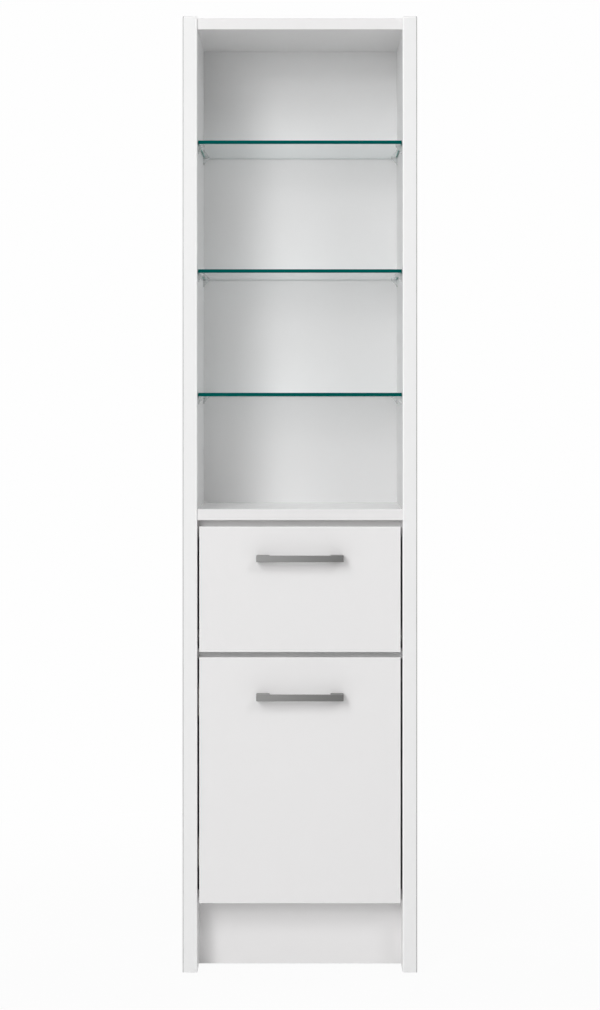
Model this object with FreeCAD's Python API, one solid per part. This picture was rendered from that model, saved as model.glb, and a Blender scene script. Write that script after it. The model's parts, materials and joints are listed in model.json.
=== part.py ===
import FreeCAD, Part
import math
import os

# Tall bathroom cabinet: open glass shelves over a drawer and a cupboard. Millimetres.
# X runs across the front, Y from the front to the back, Z up from the floor.
# The origin is on the floor, under the middle of the whole cabinet with its handles.

Vector = FreeCAD.Vector
LEFT, RIGHT = -1, 1
SIDES = {"left": LEFT, "right": RIGHT}

# ---------------------------------------------------------------- driving sizes
# Carcass
WIDTH = 400.0                   # over both side panels
DEPTH = 300.0                   # side panels, front edge to back edge
SIDE_THICKNESS = 25.0
SIDE_ROUNDING = 2.5             # front and top edges of the side panels
BOARD_THICKNESS = 19.0          # top, shelf, divider, bottom, rail, kick plate and fronts
BOARD_ROUNDING = 0.8            # front edges of those boards
TOP_DROP = 3.0                  # side panels stand this far above the top panel
SHELF_SETBACK = 5.0             # top panel and fixed shelf, behind the side panels' edges
INNER_SETBACK = 28.0            # boards behind the fronts: clear of the door's turning edge
KICK_SETBACK = 70.0
BACK_THICKNESS = 3.0
BACK_RECESS = 12.0              # free depth behind the back panel
BACK_GROOVE_DEPTH = 8.0
BACK_PLAY = 0.2                 # each face of the back panel in its groove
FACE_PLAY = 0.1                 # round fittings in their drilled holes, on the radius
PRESS_PLAY = 0.02               # pins and axles held fast in steel, on the radius

# Heights, stacked from the floor to the top
GLIDE_HEIGHT = 3.0
KICK_HEIGHT = 118.0
DOOR_HEIGHT = 419.0
FRONTS_GAP = 9.0                # between door and drawer front
DRAWER_FRONT_HEIGHT = 214.0
SHELF_GAP = 10.5                # between drawer front and fixed shelf
LOWER_BAY = 192.5               # clear heights of the open bays
MIDDLE_BAY = 205.0
UPPER_BAY = 214.0
TOP_BAY = 189.0
RAIL_HEIGHT = 30.0

# Glides
GLIDE_DIAMETER = 16.0
GLIDE_INSET = 40.0              # centre from the panel's front or back edge
GLIDE_STEM_DIAMETER = 5.0
GLIDE_STEM_LENGTH = 12.0
GLIDE_CHAMFER = 0.6

# Glass shelves and their supports
GLASS_THICKNESS = 6.0
GLASS_SETBACK = 10.0            # front edge, behind the side panels' edges
GLASS_PLAY = 1.0                # at each end and at the back panel
GLASS_CHAMFER = 0.5
SUPPORT_INSET = 37.0            # pin centres from the side panels' front edges
SUPPORT_BACK_INSET = 30.0       # pin centres from the back panel
SUPPORT_REACH = 10.5
SUPPORT_WIDTH = 14.0
SUPPORT_HEIGHT = 13.5
SUPPORT_LEDGE = 2.4
SUPPORT_PLATE = 1.8
SUPPORT_RIB = 3.0
PIN_DIAMETER = 5.0
PIN_DEPTH = 9.0                 # of a shelf pin in the side panel
HOLE_RUN_OUT = 1.0              # drilled depth past the end of a pin, screw or dowel

# Cupboard shelf
CUPBOARD_SHELF_HEIGHT = 182.0   # underside above the bottom panel
CUPBOARD_SHELF_SETBACK = 52.0
SHELF_PLAY = 1.0
TAB_REACH = 8.0                 # flat tab of a shelf pin
TAB_WIDTH = 9.0
TAB_THICKNESS = 2.5

# Cam fittings and dowels
CAM_INSET = 45.0                # from a board's front and back edges
CAM_DIAMETER = 15.0
CAM_DEPTH = 12.5
CAM_CENTRE = 24.0               # from the board's end
CAM_PLAY = 0.15
CAM_SLOT = (7.0, 1.2, 1.5)      # driver slot: length, width, depth
BOLT_DIAMETER = 6.0
BOLT_THREAD_DIAMETER = 5.0
BOLT_THREAD_LENGTH = 11.0
BOLT_NECK_DIAMETER = 4.0
BOLT_NECK_LENGTH = 3.0
BOLT_HEAD_LENGTH = 4.0
BOLT_ROOM = 0.7                 # round the bolt in the board and in the cam
DOWEL_DIAMETER = 8.0
DOWEL_IN_SIDE = 12.0
DOWEL_IN_BOARD = 18.0
DOWEL_OFFSET = 32.0             # from the cam beside it
DOWEL_CHAMFER = 0.8
RAIL_DOWEL_PITCH = 14.0
KICK_DOWEL_PITCH = 64.0

# Back panel screws and wall bracket
BACK_SCREW_INSET = 60.0         # outer screws from the side panels
BRACKET_WIDTH = 64.0
BRACKET_FOOT = 32.0
BRACKET_RISE = 20.0
BRACKET_STEEL = 2.0
BRACKET_BEND = 3.0
WALL_HOLE_DIAMETER = 5.5
WALL_HOLE_HEIGHT = 11.5         # above the top panel
BRACKET_SCREW_PITCH = 40.0
BRACKET_SCREW_INSET = 23.0      # from the cabinet's back, clear of the back panel's groove

# Handles
HANDLE_LENGTH = 148.0
HANDLE_HEIGHT = 10.8
HANDLE_PROJECTION = 29.5
HANDLE_FOOT = 22.0
HANDLE_BAR = 8.0
HANDLE_INNER_RADIUS = 5.0
HANDLE_EDGE = 0.6
HANDLE_PITCH = 128.0            # between its two screws
DRAWER_HANDLE_DROP = 53.5       # handle centre below the front's top edge
DOOR_HANDLE_DROP = 66.0
HANDLE_SCREW_DIAMETER = 4.0
HANDLE_SCREW_BITE = 9.0         # thread inside the handle's foot
HANDLE_SCREW_HEAD = (8.0, 2.4)  # diameter, height

# Fronts and drawer box
FRONT_SIDE_GAP = 3.5
FRONT_ROUNDING = 1.2
DRAWER_SIDE_THICKNESS = 12.0
DRAWER_BOX_RISE = 19.0          # box above the drawer front's lower edge
DRAWER_HEADROOM = 15.5          # box below the rail
DRAWER_BACK_GAP = 16.0          # box in front of the back panel
DRAWER_BACK_DROP = 12.0         # back board below the sides' top edges
DRAWER_BOTTOM_THICKNESS = 3.0
DRAWER_BOTTOM_RISE = 10.0       # bottom board above the sides' lower edges
DRAWER_GROOVE_DEPTH = 6.0
DRAWER_GROOVE_PLAY = 0.15
DRAWER_CAM_DIAMETER = 12.0
DRAWER_CAM_DEPTH = 9.5
DRAWER_CAM_CENTRE = 20.0
DRAWER_CAM_MARGIN = 35.0        # cams from the box's lower and upper edges
DRAWER_BOLT_DIAMETER = 5.0
DRAWER_DOWEL_DIAMETER = 6.0
DRAWER_DOWEL_IN_FRONT = 10.0
DRAWER_DOWEL_IN_BOARD = 16.0
DRAWER_DOWEL_IN_SIDE = 8.0

# Drawer runners
DRAWER_TRAVEL = 190.0
RUNNER_SPACE = 12.5             # between side panel and drawer side
RUNNER_STEEL = 1.2
RUNNER_FRONT_GAP = 3.0          # carcass runner behind the closed drawer front
RUNNER_BACK_GAP = 13.0          # carcass runner in front of the back panel
CHANNEL_INSIDE = 18.0
CHANNEL_REACH = 10.3            # channel flanges from the side panel
CHANNEL_RISE = 8.0              # channel centre above the drawer sides' lower edges
CHANNEL_START = 23.0            # flanges behind the runner's front end
FRONT_ROLLER_INSET = 12.0       # roller centre behind the runner's front end
RAIL_FOOT = 10.0                # drawer runner's foot under the drawer side
FLANGE_REACH = 8.1              # drawer runner's flange from the runner's web
FLANGE_RISE = 6.5               # underside of that flange above the channel centre
FLANGE_END_GAP = 2.0            # from the flange to the drawer's own roller
RAIL_FRONT_GAP = 1.0            # drawer runner behind the drawer front
REAR_ROLLER_INSET = 10.0        # roller centre in front of the box's back
ROLLER_DIAMETER = 17.0
ROLLER_WIDTH = 6.0
ROLLER_BORE_PLAY = 0.12
ROLLER_PLAY = 0.3               # roller to the steel that it runs on
ROLLER_END_PLAY = 0.3
ROLLER_OFFSET = 1.2             # roller from the web that carries its axle
ROLLER_CHAMFER = 0.5
AXLE_DIAMETER = 5.0
AXLE_HEAD = (8.0, 1.0)          # diameter, thickness
STOP_DEPTH = 1.0                # pressed stop under the channel's upper flange
STOP_LENGTH = 4.0
STOP_GAP = 0.4                  # roller to stop when the drawer is fully out
RUNNER_SCREW_MARGIN = 38.0      # outer screws from the runner's ends

# Hinges: distances from the door's left edge (x) and front face (y)
HINGE_MARGIN = 80.0             # hinge centres from the door's ends
PIVOT = (15.0, 9.0)
PIVOT_DIAMETER = 2.8
PIVOT_PLAY = 0.15
EYE_DIAMETER = 5.0
EYE_FLOOR_GAP = 0.3
CUP_DIAMETER = 35.0
CUP_EDGE = 5.0                  # door left outside the cup
CUP_PLAY = 0.1
CUP_FLOOR = 0.8
CUP_WALL = 1.0
CUP_POCKET = 14.6               # pocket height for the arm
CUP_FLANGE = 1.2
CUP_FLANGE_DIAMETER = 37.0
CUP_WING = (62.0, 16.0)         # flange wing: height, width
CUP_SCREW_PITCH = 48.0
CUP_SCREW_OFFSET = 9.5          # from the cup's centre, away from the door's edge
ARM_WIDTH = 12.0
ARM_STEEL = 2.0
ARM_BEND = 3.0
ARM_ROUTE = ((27.0, 12.5), (33.5, 18.5), (33.0, 27.5), (26.0, 31.5), (10.0, 32.0))
ARM_LIFT = 8.1                  # straight part's centre line from the side panel
ARM_STRAIGHT = (37.0, 74.0)     # straight part, from the side panels' front edges
ARM_CHEEK = (1.0, 4.6)          # thickness and depth of its side walls
PLATE_SCREW_INSET = 56.0
PLATE_SCREW_PITCH = 32.0
PLATE_WING = (50.0, 22.0, 2.0)  # height, depth, thickness
PLATE_BLOCK = (42.0, 70.0)      # raised block, from the side panels' front edges
PLATE_BLOCK_PLAY = 0.2
ARM_SCREW_INSET = 50.0

# Magnetic catch
CATCH_SIZE = (42.0, 30.0, 12.0)
CATCH_INSET = 61.5              # centre from the door's free edge
CATCH_GAP = 0.4                 # magnet to plate
CATCH_PIN_PITCH = 28.0
CATCH_PIN_LENGTH = 9.0
CATCH_PLATE = (34.0, 1.2, 10.0)

# Screws: (head diameter, head height, shank diameter, shank length)
PANEL_SCREW = (7.0, 1.6, 3.5, 16.0)
RUNNER_SCREW = (8.0, 0.8, 5.0, 11.0)
RAIL_SCREW = (6.5, 1.6, 3.5, 9.5)
HINGE_SCREW = (7.5, 1.2, 5.0, 11.0)
CUP_SCREW = (6.5, 1.2, 3.5, 12.0)
ARM_SCREW = (7.0, 2.0, 4.0, 4.5)

# ---------------------------------------------------------------- derived places
front = (HANDLE_PROJECTION - DEPTH) / 2
back = front + DEPTH
inner = WIDTH / 2 - SIDE_THICKNESS
back_panel_front = back - BACK_RECESS - BACK_THICKNESS
board_back = back_panel_front - BACK_PLAY

side_bottom = GLIDE_HEIGHT
bottom_underside = side_bottom + KICK_HEIGHT
bottom_top = bottom_underside + BOARD_THICKNESS
door_bottom = bottom_underside
door_top = door_bottom + DOOR_HEIGHT
drawer_front_bottom = door_top + FRONTS_GAP
drawer_front_top = drawer_front_bottom + DRAWER_FRONT_HEIGHT
shelf_underside = drawer_front_top + SHELF_GAP
shelf_top = shelf_underside + BOARD_THICKNESS
lower_glass = shelf_top + LOWER_BAY
middle_glass = lower_glass + GLASS_THICKNESS + MIDDLE_BAY
upper_glass = middle_glass + GLASS_THICKNESS + UPPER_BAY
top_underside = upper_glass + GLASS_THICKNESS + TOP_BAY
top_face = top_underside + BOARD_THICKNESS
side_top = top_face + TOP_DROP
divider_underside = door_top + FRONTS_GAP / 2 - BOARD_THICKNESS / 2
rail_underside = shelf_underside - RAIL_HEIGHT
cupboard_shelf_underside = bottom_top + CUPBOARD_SHELF_HEIGHT
glass_levels = {"lower": lower_glass, "middle": middle_glass, "upper": upper_glass}

front_half = inner - FRONT_SIDE_GAP
front_back = front + BOARD_THICKNESS

box_bottom = drawer_front_bottom + DRAWER_BOX_RISE
box_top = rail_underside - DRAWER_HEADROOM
box_half = inner - RUNNER_SPACE
box_inner = box_half - DRAWER_SIDE_THICKNESS
box_back = back_panel_front - DRAWER_BACK_GAP
box_floor = box_bottom + DRAWER_BOTTOM_RISE
box_side_middle = box_half - DRAWER_SIDE_THICKNESS / 2
drawer_handle_height = drawer_front_top - DRAWER_HANDLE_DROP
door_handle_height = door_top - DOOR_HANDLE_DROP

runner_front = front_back + RUNNER_FRONT_GAP
runner_back = back_panel_front - RUNNER_BACK_GAP
channel_centre = box_bottom + CHANNEL_RISE
roller_radius = ROLLER_DIAMETER / 2
front_roller_place = (runner_front + FRONT_ROLLER_INSET,
                      channel_centre + FLANGE_RISE - ROLLER_PLAY - roller_radius)
rear_roller_place = (box_back - REAR_ROLLER_INSET,
                     channel_centre - CHANNEL_INSIDE / 2 + ROLLER_PLAY + roller_radius)

door_left = -front_half
hinge_heights = {"lower": door_bottom + HINGE_MARGIN, "upper": door_top - HINGE_MARGIN}
pivot_x = door_left + PIVOT[0]
pivot_y = front + PIVOT[1]
cup_x = door_left + CUP_EDGE + CUP_DIAMETER / 2
cup_floor_y = pivot_y - EYE_DIAMETER / 2 - EYE_FLOOR_GAP
catch_x = front_half - CATCH_INSET
catch_height = divider_underside - CATCH_SIZE[2] / 2


# ---------------------------------------------------------------- shape helpers
def block(x, y, z):
    """A rectangular block between two values on each axis."""
    corner = Vector(min(x), min(y), min(z))
    return Part.makeBox(abs(x[1] - x[0]), abs(y[1] - y[0]), abs(z[1] - z[0]), corner)


def rod(axis, ends, centre, diameter):
    """A cylinder along X, Y or Z between two values; centre holds its two other coordinates."""
    low, high = min(ends), max(ends)
    first, second = centre
    start, direction = {
        "X": (Vector(low, first, second), Vector(1, 0, 0)),
        "Y": (Vector(first, low, second), Vector(0, 1, 0)),
        "Z": (Vector(first, second, low), Vector(0, 0, 1)),
    }[axis]
    return Part.makeCylinder(diameter / 2, high - low, start, direction)


def fused(shapes):
    """The given shapes as one solid."""
    return shapes[0].multiFuse(shapes[1:]).removeSplitter()


def drilled(shape, holes):
    """The shape with every hole cut out of it."""
    return shape.cut(Part.makeCompound(holes)) if holes else shape


def edges_on(shape, *tests):
    """The edges whose middle passes any of the tests."""
    return [edge for edge in shape.Edges if any(test(edge.CenterOfMass) for test in tests)]


def near(value, target):
    return abs(value - target) < 1e-6


def board(x, y, z, rounding=BOARD_ROUNDING):
    """A board with its two long front edges rounded."""
    shape = block(x, y, z)
    front_edges = edges_on(shape, lambda p: near(p.y, min(y)) and not (near(p.x, x[0]) or near(p.x, x[1])))
    return shape.makeFillet(rounding, front_edges)


def screw(axis, seat, towards, centre, size):
    """A flat-headed screw: its head rests on the seat and its shank runs towards +1 or -1."""
    head_diameter, head_height, shank_diameter, shank_length = size
    head = rod(axis, (seat, seat - towards * head_height), centre, head_diameter)
    shank = rod(axis, (seat - towards * head_height / 2, seat + towards * shank_length),
                centre, shank_diameter)
    return fused([head, shank])


def screw_hole(axis, seat, towards, centre, size):
    """The hole that a screw's shank passes into, measured from the seat of its head."""
    depth = size[3] + HOLE_RUN_OUT
    return rod(axis, (seat, seat + towards * depth), centre, size[2] + 2 * FACE_PLAY)


def rounded_route(points, radius):
    """A route of straight runs and tangent arcs, each as (start, middle, end, centre)."""
    places = [Vector(x, y, 0) for x, y in points]
    pieces = []
    start = places[0]
    for corner, after in zip(places[1:-1], places[2:]):
        into = (corner - start).normalize()
        out = (after - corner).normalize()
        turn = into.getAngle(out)
        reach = radius * math.tan(turn / 2)
        arc_start = corner - into * reach
        arc_end = corner + out * reach
        centre = corner + (out - into).normalize() * (radius / math.cos(turn / 2))
        middle = centre + (corner - centre).normalize() * radius
        pieces.append((start, None, arc_start, None))
        pieces.append((arc_start, middle, arc_end, centre))
        start = arc_end
    pieces.append((start, None, places[-1], None))
    return pieces


def offset_piece(piece, distance):
    """One piece of a route, moved sideways to the left of its direction."""
    start, middle, end, centre = piece
    chord = (end - start).normalize()
    left = Vector(-chord.y, chord.x, 0)
    if centre is None:
        return start + left * distance, None, end + left * distance
    towards = 1 if left.dot(centre - middle) > 0 else -1
    return tuple(p + (centre - p).normalize() * (distance * towards) for p in (start, middle, end))


def strip(points, radius, thickness, z):
    """A bent strip of even thickness along a route in plan, between two heights."""
    route = rounded_route(points, radius)
    sides = [[offset_piece(piece, half) for piece in route] for half in (thickness / 2, -thickness / 2)]
    edges = []
    for side in sides:
        for start, middle, end in side:
            curve = Part.LineSegment(start, end) if middle is None else Part.Arc(start, middle, end)
            edges.append(curve.toShape())
    for place in (0, -1):
        ends = [side[place][place] for side in sides]
        edges.append(Part.LineSegment(*ends).toShape())
    outline = Part.Wire(Part.__sortEdges__(edges))
    solid = Part.Face(outline).extrude(Vector(0, 0, z[1] - z[0]))
    solid.translate(Vector(0, 0, z[0]))
    return solid


# ---------------------------------------------------------------- board joints
class Board:
    """A horizontal board between the side panels, held at each end by two cams and two dowels."""

    def __init__(self, underside, board_front, board_end, cams_on_top):
        self.z = (underside, underside + BOARD_THICKNESS)
        self.y = (board_front, board_end)
        self.middle = underside + BOARD_THICKNESS / 2
        self.cams_on_top = cams_on_top

    def cam_depths(self):
        return self.y[0] + CAM_INSET, self.y[1] - CAM_INSET

    def dowel_places(self):
        first, last = self.cam_depths()
        return [(first + DOWEL_OFFSET, self.middle), (last - DOWEL_OFFSET, self.middle)]

    def cam_span(self, depth):
        """Heights between which a cam of the given depth lies."""
        face = self.z[1] if self.cams_on_top else self.z[0]
        return (face, face - depth) if self.cams_on_top else (face, face + depth)


top_board = Board(top_underside, front + SHELF_SETBACK, back, True)
shelf_board = Board(shelf_underside, front + SHELF_SETBACK, board_back, False)
divider_board = Board(divider_underside, front + INNER_SETBACK, board_back, False)
bottom_board = Board(bottom_underside, front + INNER_SETBACK, board_back, False)
BOARDS = (top_board, shelf_board, divider_board, bottom_board)

rail_depth = front + INNER_SETBACK + BOARD_THICKNESS / 2
kick_depth = front + KICK_SETBACK + BOARD_THICKNESS / 2
rail_dowels = [(rail_depth, rail_underside + RAIL_HEIGHT / 2 + step * RAIL_DOWEL_PITCH / 2)
               for step in (-1, 1)]
kick_dowels = [(kick_depth, side_bottom + KICK_HEIGHT / 2 + step * KICK_DOWEL_PITCH / 2)
               for step in (-1, 1)]
back_screw_places = [(x, b.middle) for b in (shelf_board, divider_board, bottom_board)
                     for x in (BACK_SCREW_INSET - inner, 0.0, inner - BACK_SCREW_INSET)]


def cam_places():
    """Every cam fitting of the carcass: side, depth and board."""
    return [(side, depth, b) for b in BOARDS for depth in b.cam_depths() for side in SIDES.values()]


def all_dowels():
    """Depth and height of every dowel at one end of the carcass's boards."""
    return [place for b in BOARDS for place in b.dowel_places()] + rail_dowels + kick_dowels


def cam_fitting(side, depth, b):
    """A cam lock lying flush in its board, with the mouth and the seat for its bolt's head."""
    x = side * (inner - CAM_CENTRE)
    lock = rod("Z", b.cam_span(CAM_DEPTH), (x, depth), CAM_DIAMETER)
    length, width, deep = CAM_SLOT
    slot = block((x - length / 2, x + length / 2), (depth - width / 2, depth + width / 2),
                 b.cam_span(deep))
    head_end = x - side * BOLT_HEAD_LENGTH
    mouth = rod("X", (side * inner, head_end), (depth, b.middle), BOLT_DIAMETER + 2 * BOLT_ROOM)
    return drilled(lock, [slot, mouth])


def cam_bolt(side, depth, b):
    """A bolt screwed into the side panel, with its neck and head inside the cam."""
    face = side * inner
    centre = (depth, b.middle)
    head_end = side * (inner - CAM_CENTRE - BOLT_HEAD_LENGTH / 2)
    head_start = head_end + side * BOLT_HEAD_LENGTH
    neck_start = head_start + side * BOLT_NECK_LENGTH
    return fused([
        rod("X", (face, face + side * BOLT_THREAD_LENGTH), centre, BOLT_THREAD_DIAMETER),
        rod("X", (face, neck_start), centre, BOLT_DIAMETER),
        rod("X", (neck_start, head_start), centre, BOLT_NECK_DIAMETER),
        rod("X", (head_start, head_end), centre, BOLT_DIAMETER),
    ])


def dowel(side, place):
    """A wooden dowel across the joint between a side panel and a board's end."""
    face = side * inner
    shape = rod("X", (face + side * DOWEL_IN_SIDE, face - side * DOWEL_IN_BOARD), place, DOWEL_DIAMETER)
    return shape.makeChamfer(DOWEL_CHAMFER, edges_on(shape, lambda p: near(p.y, place[0])
                                                     and near(p.z, place[1])))


def board_end_holes(b):
    """Cam, bolt and dowel holes in both ends of a horizontal board."""
    holes = []
    for side in SIDES.values():
        face = side * inner
        cam_x = side * (inner - CAM_CENTRE)
        for depth in b.cam_depths():
            holes.append(rod("Z", b.cam_span(CAM_DEPTH + HOLE_RUN_OUT / 2), (cam_x, depth),
                             CAM_DIAMETER + 2 * CAM_PLAY))
            holes.append(rod("X", (face, cam_x), (depth, b.middle), BOLT_DIAMETER + 2 * BOLT_ROOM))
        holes += dowel_holes(side, b.dowel_places())
    return holes


def dowel_holes(side, places):
    """Holes for dowels in the end of a board."""
    face = side * inner
    end = face - side * (DOWEL_IN_BOARD + HOLE_RUN_OUT)
    return [rod("X", (face, end), place, DOWEL_DIAMETER + 2 * FACE_PLAY) for place in places]


# ---------------------------------------------------------------- carcass
def shelf_pin_places():
    """Depth and height of each shelf pin's centre on one side, glass shelves and cupboard shelf."""
    depths = (front + SUPPORT_INSET, back_panel_front - SUPPORT_BACK_INSET)
    places = [(depth, level - SUPPORT_HEIGHT / 2) for level in glass_levels.values() for depth in depths]
    return places + cupboard_pin_places()


def cupboard_pin_places():
    """Depth and height of each cupboard shelf pin's centre on one side."""
    height = cupboard_shelf_underside - TAB_THICKNESS / 2
    depths = (front + CUPBOARD_SHELF_SETBACK + SUPPORT_INSET, back_panel_front - SUPPORT_BACK_INSET)
    return [(depth, height) for depth in depths]


def runner_screw_places():
    """Depth and height of the screws of one carcass runner."""
    ends = (runner_front + RUNNER_SCREW_MARGIN, runner_back - RUNNER_SCREW_MARGIN)
    return [(depth, channel_centre) for depth in (ends[0], sum(ends) / 2, ends[1])]


def hinge_screw_places():
    """Depth and height of the hinge plates' screws in the left side panel."""
    return [(front + PLATE_SCREW_INSET, height + step * PLATE_SCREW_PITCH / 2)
            for height in hinge_heights.values() for step in (-1, 1)]


def side_holes(side):
    """Every hole drilled into the inner face of one side panel."""
    drillings = [
        ([(d, b.middle) for b in BOARDS for d in b.cam_depths()], BOLT_THREAD_DIAMETER,
         BOLT_THREAD_LENGTH),
        (all_dowels(), DOWEL_DIAMETER, DOWEL_IN_SIDE),
        (shelf_pin_places(), PIN_DIAMETER, PIN_DEPTH),
        (runner_screw_places(), RUNNER_SCREW[2], RUNNER_SCREW[3]),
    ]
    if side == LEFT:
        drillings.append((hinge_screw_places(), HINGE_SCREW[2], HINGE_SCREW[3]))
    face = side * inner
    return [rod("X", (face, face + side * (depth + HOLE_RUN_OUT)), place, diameter + 2 * FACE_PLAY)
            for places, diameter, depth in drillings for place in places]


def glide_places():
    """Plan position of each glide."""
    middle = inner + SIDE_THICKNESS / 2
    return [(side * middle, depth) for side in SIDES.values()
            for depth in (front + GLIDE_INSET, back - GLIDE_INSET)]


def side_panel(side):
    """A side panel with rounded front and top edges, a groove for the back and its drillings."""
    x = (side * inner, side * (inner + SIDE_THICKNESS))
    panel = block(x, (front, back), (side_bottom, side_top))
    rounded = edges_on(panel,
                       lambda p: near(p.y, front) and not near(p.z, side_bottom),
                       lambda p: near(p.z, side_top) and not near(p.y, back))
    panel = panel.makeFillet(SIDE_ROUNDING, rounded)
    groove = block((x[0], x[0] + side * BACK_GROOVE_DEPTH),
                   (back_panel_front - BACK_PLAY, back_panel_front + BACK_THICKNESS + BACK_PLAY),
                   (side_bottom, side_top))
    stems = [rod("Z", (side_bottom, side_bottom + GLIDE_STEM_LENGTH + HOLE_RUN_OUT), place,
                 GLIDE_STEM_DIAMETER + 2 * FACE_PLAY)
             for place in glide_places() if place[0] * side > 0]
    return drilled(panel, [groove] + stems + side_holes(side))


def top_panel():
    """The top, with a groove for the back panel and holes for the wall bracket."""
    panel = board((-inner, inner), top_board.y, top_board.z)
    groove = block((-inner, inner),
                   (back_panel_front - BACK_PLAY, back_panel_front + BACK_THICKNESS + BACK_PLAY),
                   (top_underside, top_underside + BACK_GROOVE_DEPTH))
    bracket_holes = [screw_hole("Z", top_face, -1, place, PANEL_SCREW)
                     for place in bracket_screw_places()]
    return drilled(panel, [groove] + board_end_holes(top_board) + bracket_holes)


def back_screw_holes(b):
    """Pilot holes in a board's back edge for the back panel's screws."""
    seat = back_panel_front + BACK_THICKNESS
    return [screw_hole("Y", seat, -1, place, PANEL_SCREW)
            for place in back_screw_places if near(place[1], b.middle)]


def fixed_shelf():
    """The floor of the open bays."""
    panel = board((-inner, inner), shelf_board.y, shelf_board.z)
    return drilled(panel, board_end_holes(shelf_board) + back_screw_holes(shelf_board))


def divider_panel():
    """The board between drawer and cupboard, drilled below for the magnetic catch."""
    panel = board((-inner, inner), divider_board.y, divider_board.z)
    pins = [rod("Z", (divider_underside, divider_underside + CATCH_PIN_LENGTH + HOLE_RUN_OUT), place,
                PIN_DIAMETER + 2 * FACE_PLAY) for place in catch_pin_places()]
    return drilled(panel, board_end_holes(divider_board) + back_screw_holes(divider_board) + pins)


def bottom_panel():
    """The cupboard's floor."""
    panel = board((-inner, inner), bottom_board.y, bottom_board.z)
    return drilled(panel, board_end_holes(bottom_board) + back_screw_holes(bottom_board))


def upright_board(depth, z, dowels):
    """An upright board across the carcass, with its front face at the given depth."""
    panel = board((-inner, inner), (depth, depth + BOARD_THICKNESS), z)
    return drilled(panel, dowel_holes(LEFT, dowels) + dowel_holes(RIGHT, dowels))


def back_panel():
    """The thin back, held in the side panels' and the top's grooves and screwed to the boards."""
    x = inner + BACK_GROOVE_DEPTH - BACK_PLAY
    y = (back_panel_front, back_panel_front + BACK_THICKNESS)
    panel = block((-x, x), y, (bottom_underside, top_underside + BACK_GROOVE_DEPTH - BACK_PLAY))
    return drilled(panel, [rod("Y", y, place, PANEL_SCREW[2] + 2 * FACE_PLAY)
                           for place in back_screw_places])


def back_panel_screws():
    seat = back_panel_front + BACK_THICKNESS
    return [screw("Y", seat, -1, place, PANEL_SCREW) for place in back_screw_places]


def glide(place):
    """A round glide with a stem pressed up into the side panel."""
    disc = rod("Z", (0.0, GLIDE_HEIGHT), place, GLIDE_DIAMETER)
    disc = disc.makeChamfer(GLIDE_CHAMFER, edges_on(disc, lambda p: near(p.z, 0.0)))
    stem = rod("Z", (GLIDE_HEIGHT / 2, GLIDE_HEIGHT + GLIDE_STEM_LENGTH), place, GLIDE_STEM_DIAMETER)
    return fused([disc, stem])


def bracket_screw_places():
    """Plan position of the two screws that hold the wall bracket on the top panel."""
    depth = back - BRACKET_SCREW_INSET
    return [(step * BRACKET_SCREW_PITCH / 2, depth) for step in (-1, 1)]


def wall_bracket():
    """A bent steel angle on the top panel, with one hole for a wall screw."""
    x = (-BRACKET_WIDTH / 2, BRACKET_WIDTH / 2)
    outside = block(x, (back - BRACKET_FOOT, back), (top_face, top_face + BRACKET_RISE))
    heel = edges_on(outside, lambda p: near(p.y, back) and near(p.z, top_face))
    outside = outside.makeFillet(BRACKET_BEND, heel)
    inside = block(x, (back - BRACKET_FOOT, back - BRACKET_STEEL),
                   (top_face + BRACKET_STEEL, top_face + BRACKET_RISE))
    hollow = edges_on(inside, lambda p: near(p.y, back - BRACKET_STEEL)
                      and near(p.z, top_face + BRACKET_STEEL))
    inside = inside.makeFillet(BRACKET_BEND - BRACKET_STEEL, hollow)
    holes = [rod("Z", (top_face, top_face + BRACKET_STEEL), place, PANEL_SCREW[2] + 2 * FACE_PLAY)
             for place in bracket_screw_places()]
    holes.append(rod("Y", (back - BRACKET_STEEL, back), (0.0, top_face + WALL_HOLE_HEIGHT),
                     WALL_HOLE_DIAMETER))
    return drilled(outside, [inside] + holes)


def wall_bracket_screws():
    seat = top_face + BRACKET_STEEL
    return [screw("Z", seat, -1, place, PANEL_SCREW) for place in bracket_screw_places()]


# ---------------------------------------------------------------- shelves
def glass_shelf(level):
    """A glass shelf with ground edges."""
    x = inner - GLASS_PLAY
    glass = block((-x, x), (front + GLASS_SETBACK, back_panel_front - GLASS_PLAY),
                  (level, level + GLASS_THICKNESS))
    return glass.makeChamfer(GLASS_CHAMFER, glass.Edges)


def glass_support(side, depth, level):
    """A clear support: wall plate, ledge and rib, with a pin into the side panel."""
    face = side * inner
    y = (depth - SUPPORT_WIDTH / 2, depth + SUPPORT_WIDTH / 2)
    z = (level - SUPPORT_HEIGHT, level)
    plate = block((face, face - side * SUPPORT_PLATE), y, z)
    ledge = block((face, face - side * SUPPORT_REACH), y, (level - SUPPORT_LEDGE, level))
    corners = [Vector(face, depth - SUPPORT_RIB / 2, z[0]),
               Vector(face - side * SUPPORT_REACH, depth - SUPPORT_RIB / 2, level - SUPPORT_LEDGE),
               Vector(face, depth - SUPPORT_RIB / 2, level - SUPPORT_LEDGE)]
    rib = Part.Face(Part.makePolygon(corners + corners[:1])).extrude(Vector(0, SUPPORT_RIB, 0))
    pin = rod("X", (face - side * SUPPORT_PLATE / 2, face + side * PIN_DEPTH),
              (depth, level - SUPPORT_HEIGHT / 2), PIN_DIAMETER)
    return fused([plate, ledge, rib, pin])


def glass_supports(level):
    depths = (front + SUPPORT_INSET, back_panel_front - SUPPORT_BACK_INSET)
    return [glass_support(side, depth, level) for side in SIDES.values() for depth in depths]


def cupboard_shelf():
    """The loose shelf in the cupboard."""
    x = inner - SHELF_PLAY
    return board((-x, x), (front + CUPBOARD_SHELF_SETBACK, back_panel_front - SHELF_PLAY),
                 (cupboard_shelf_underside, cupboard_shelf_underside + BOARD_THICKNESS))


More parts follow.
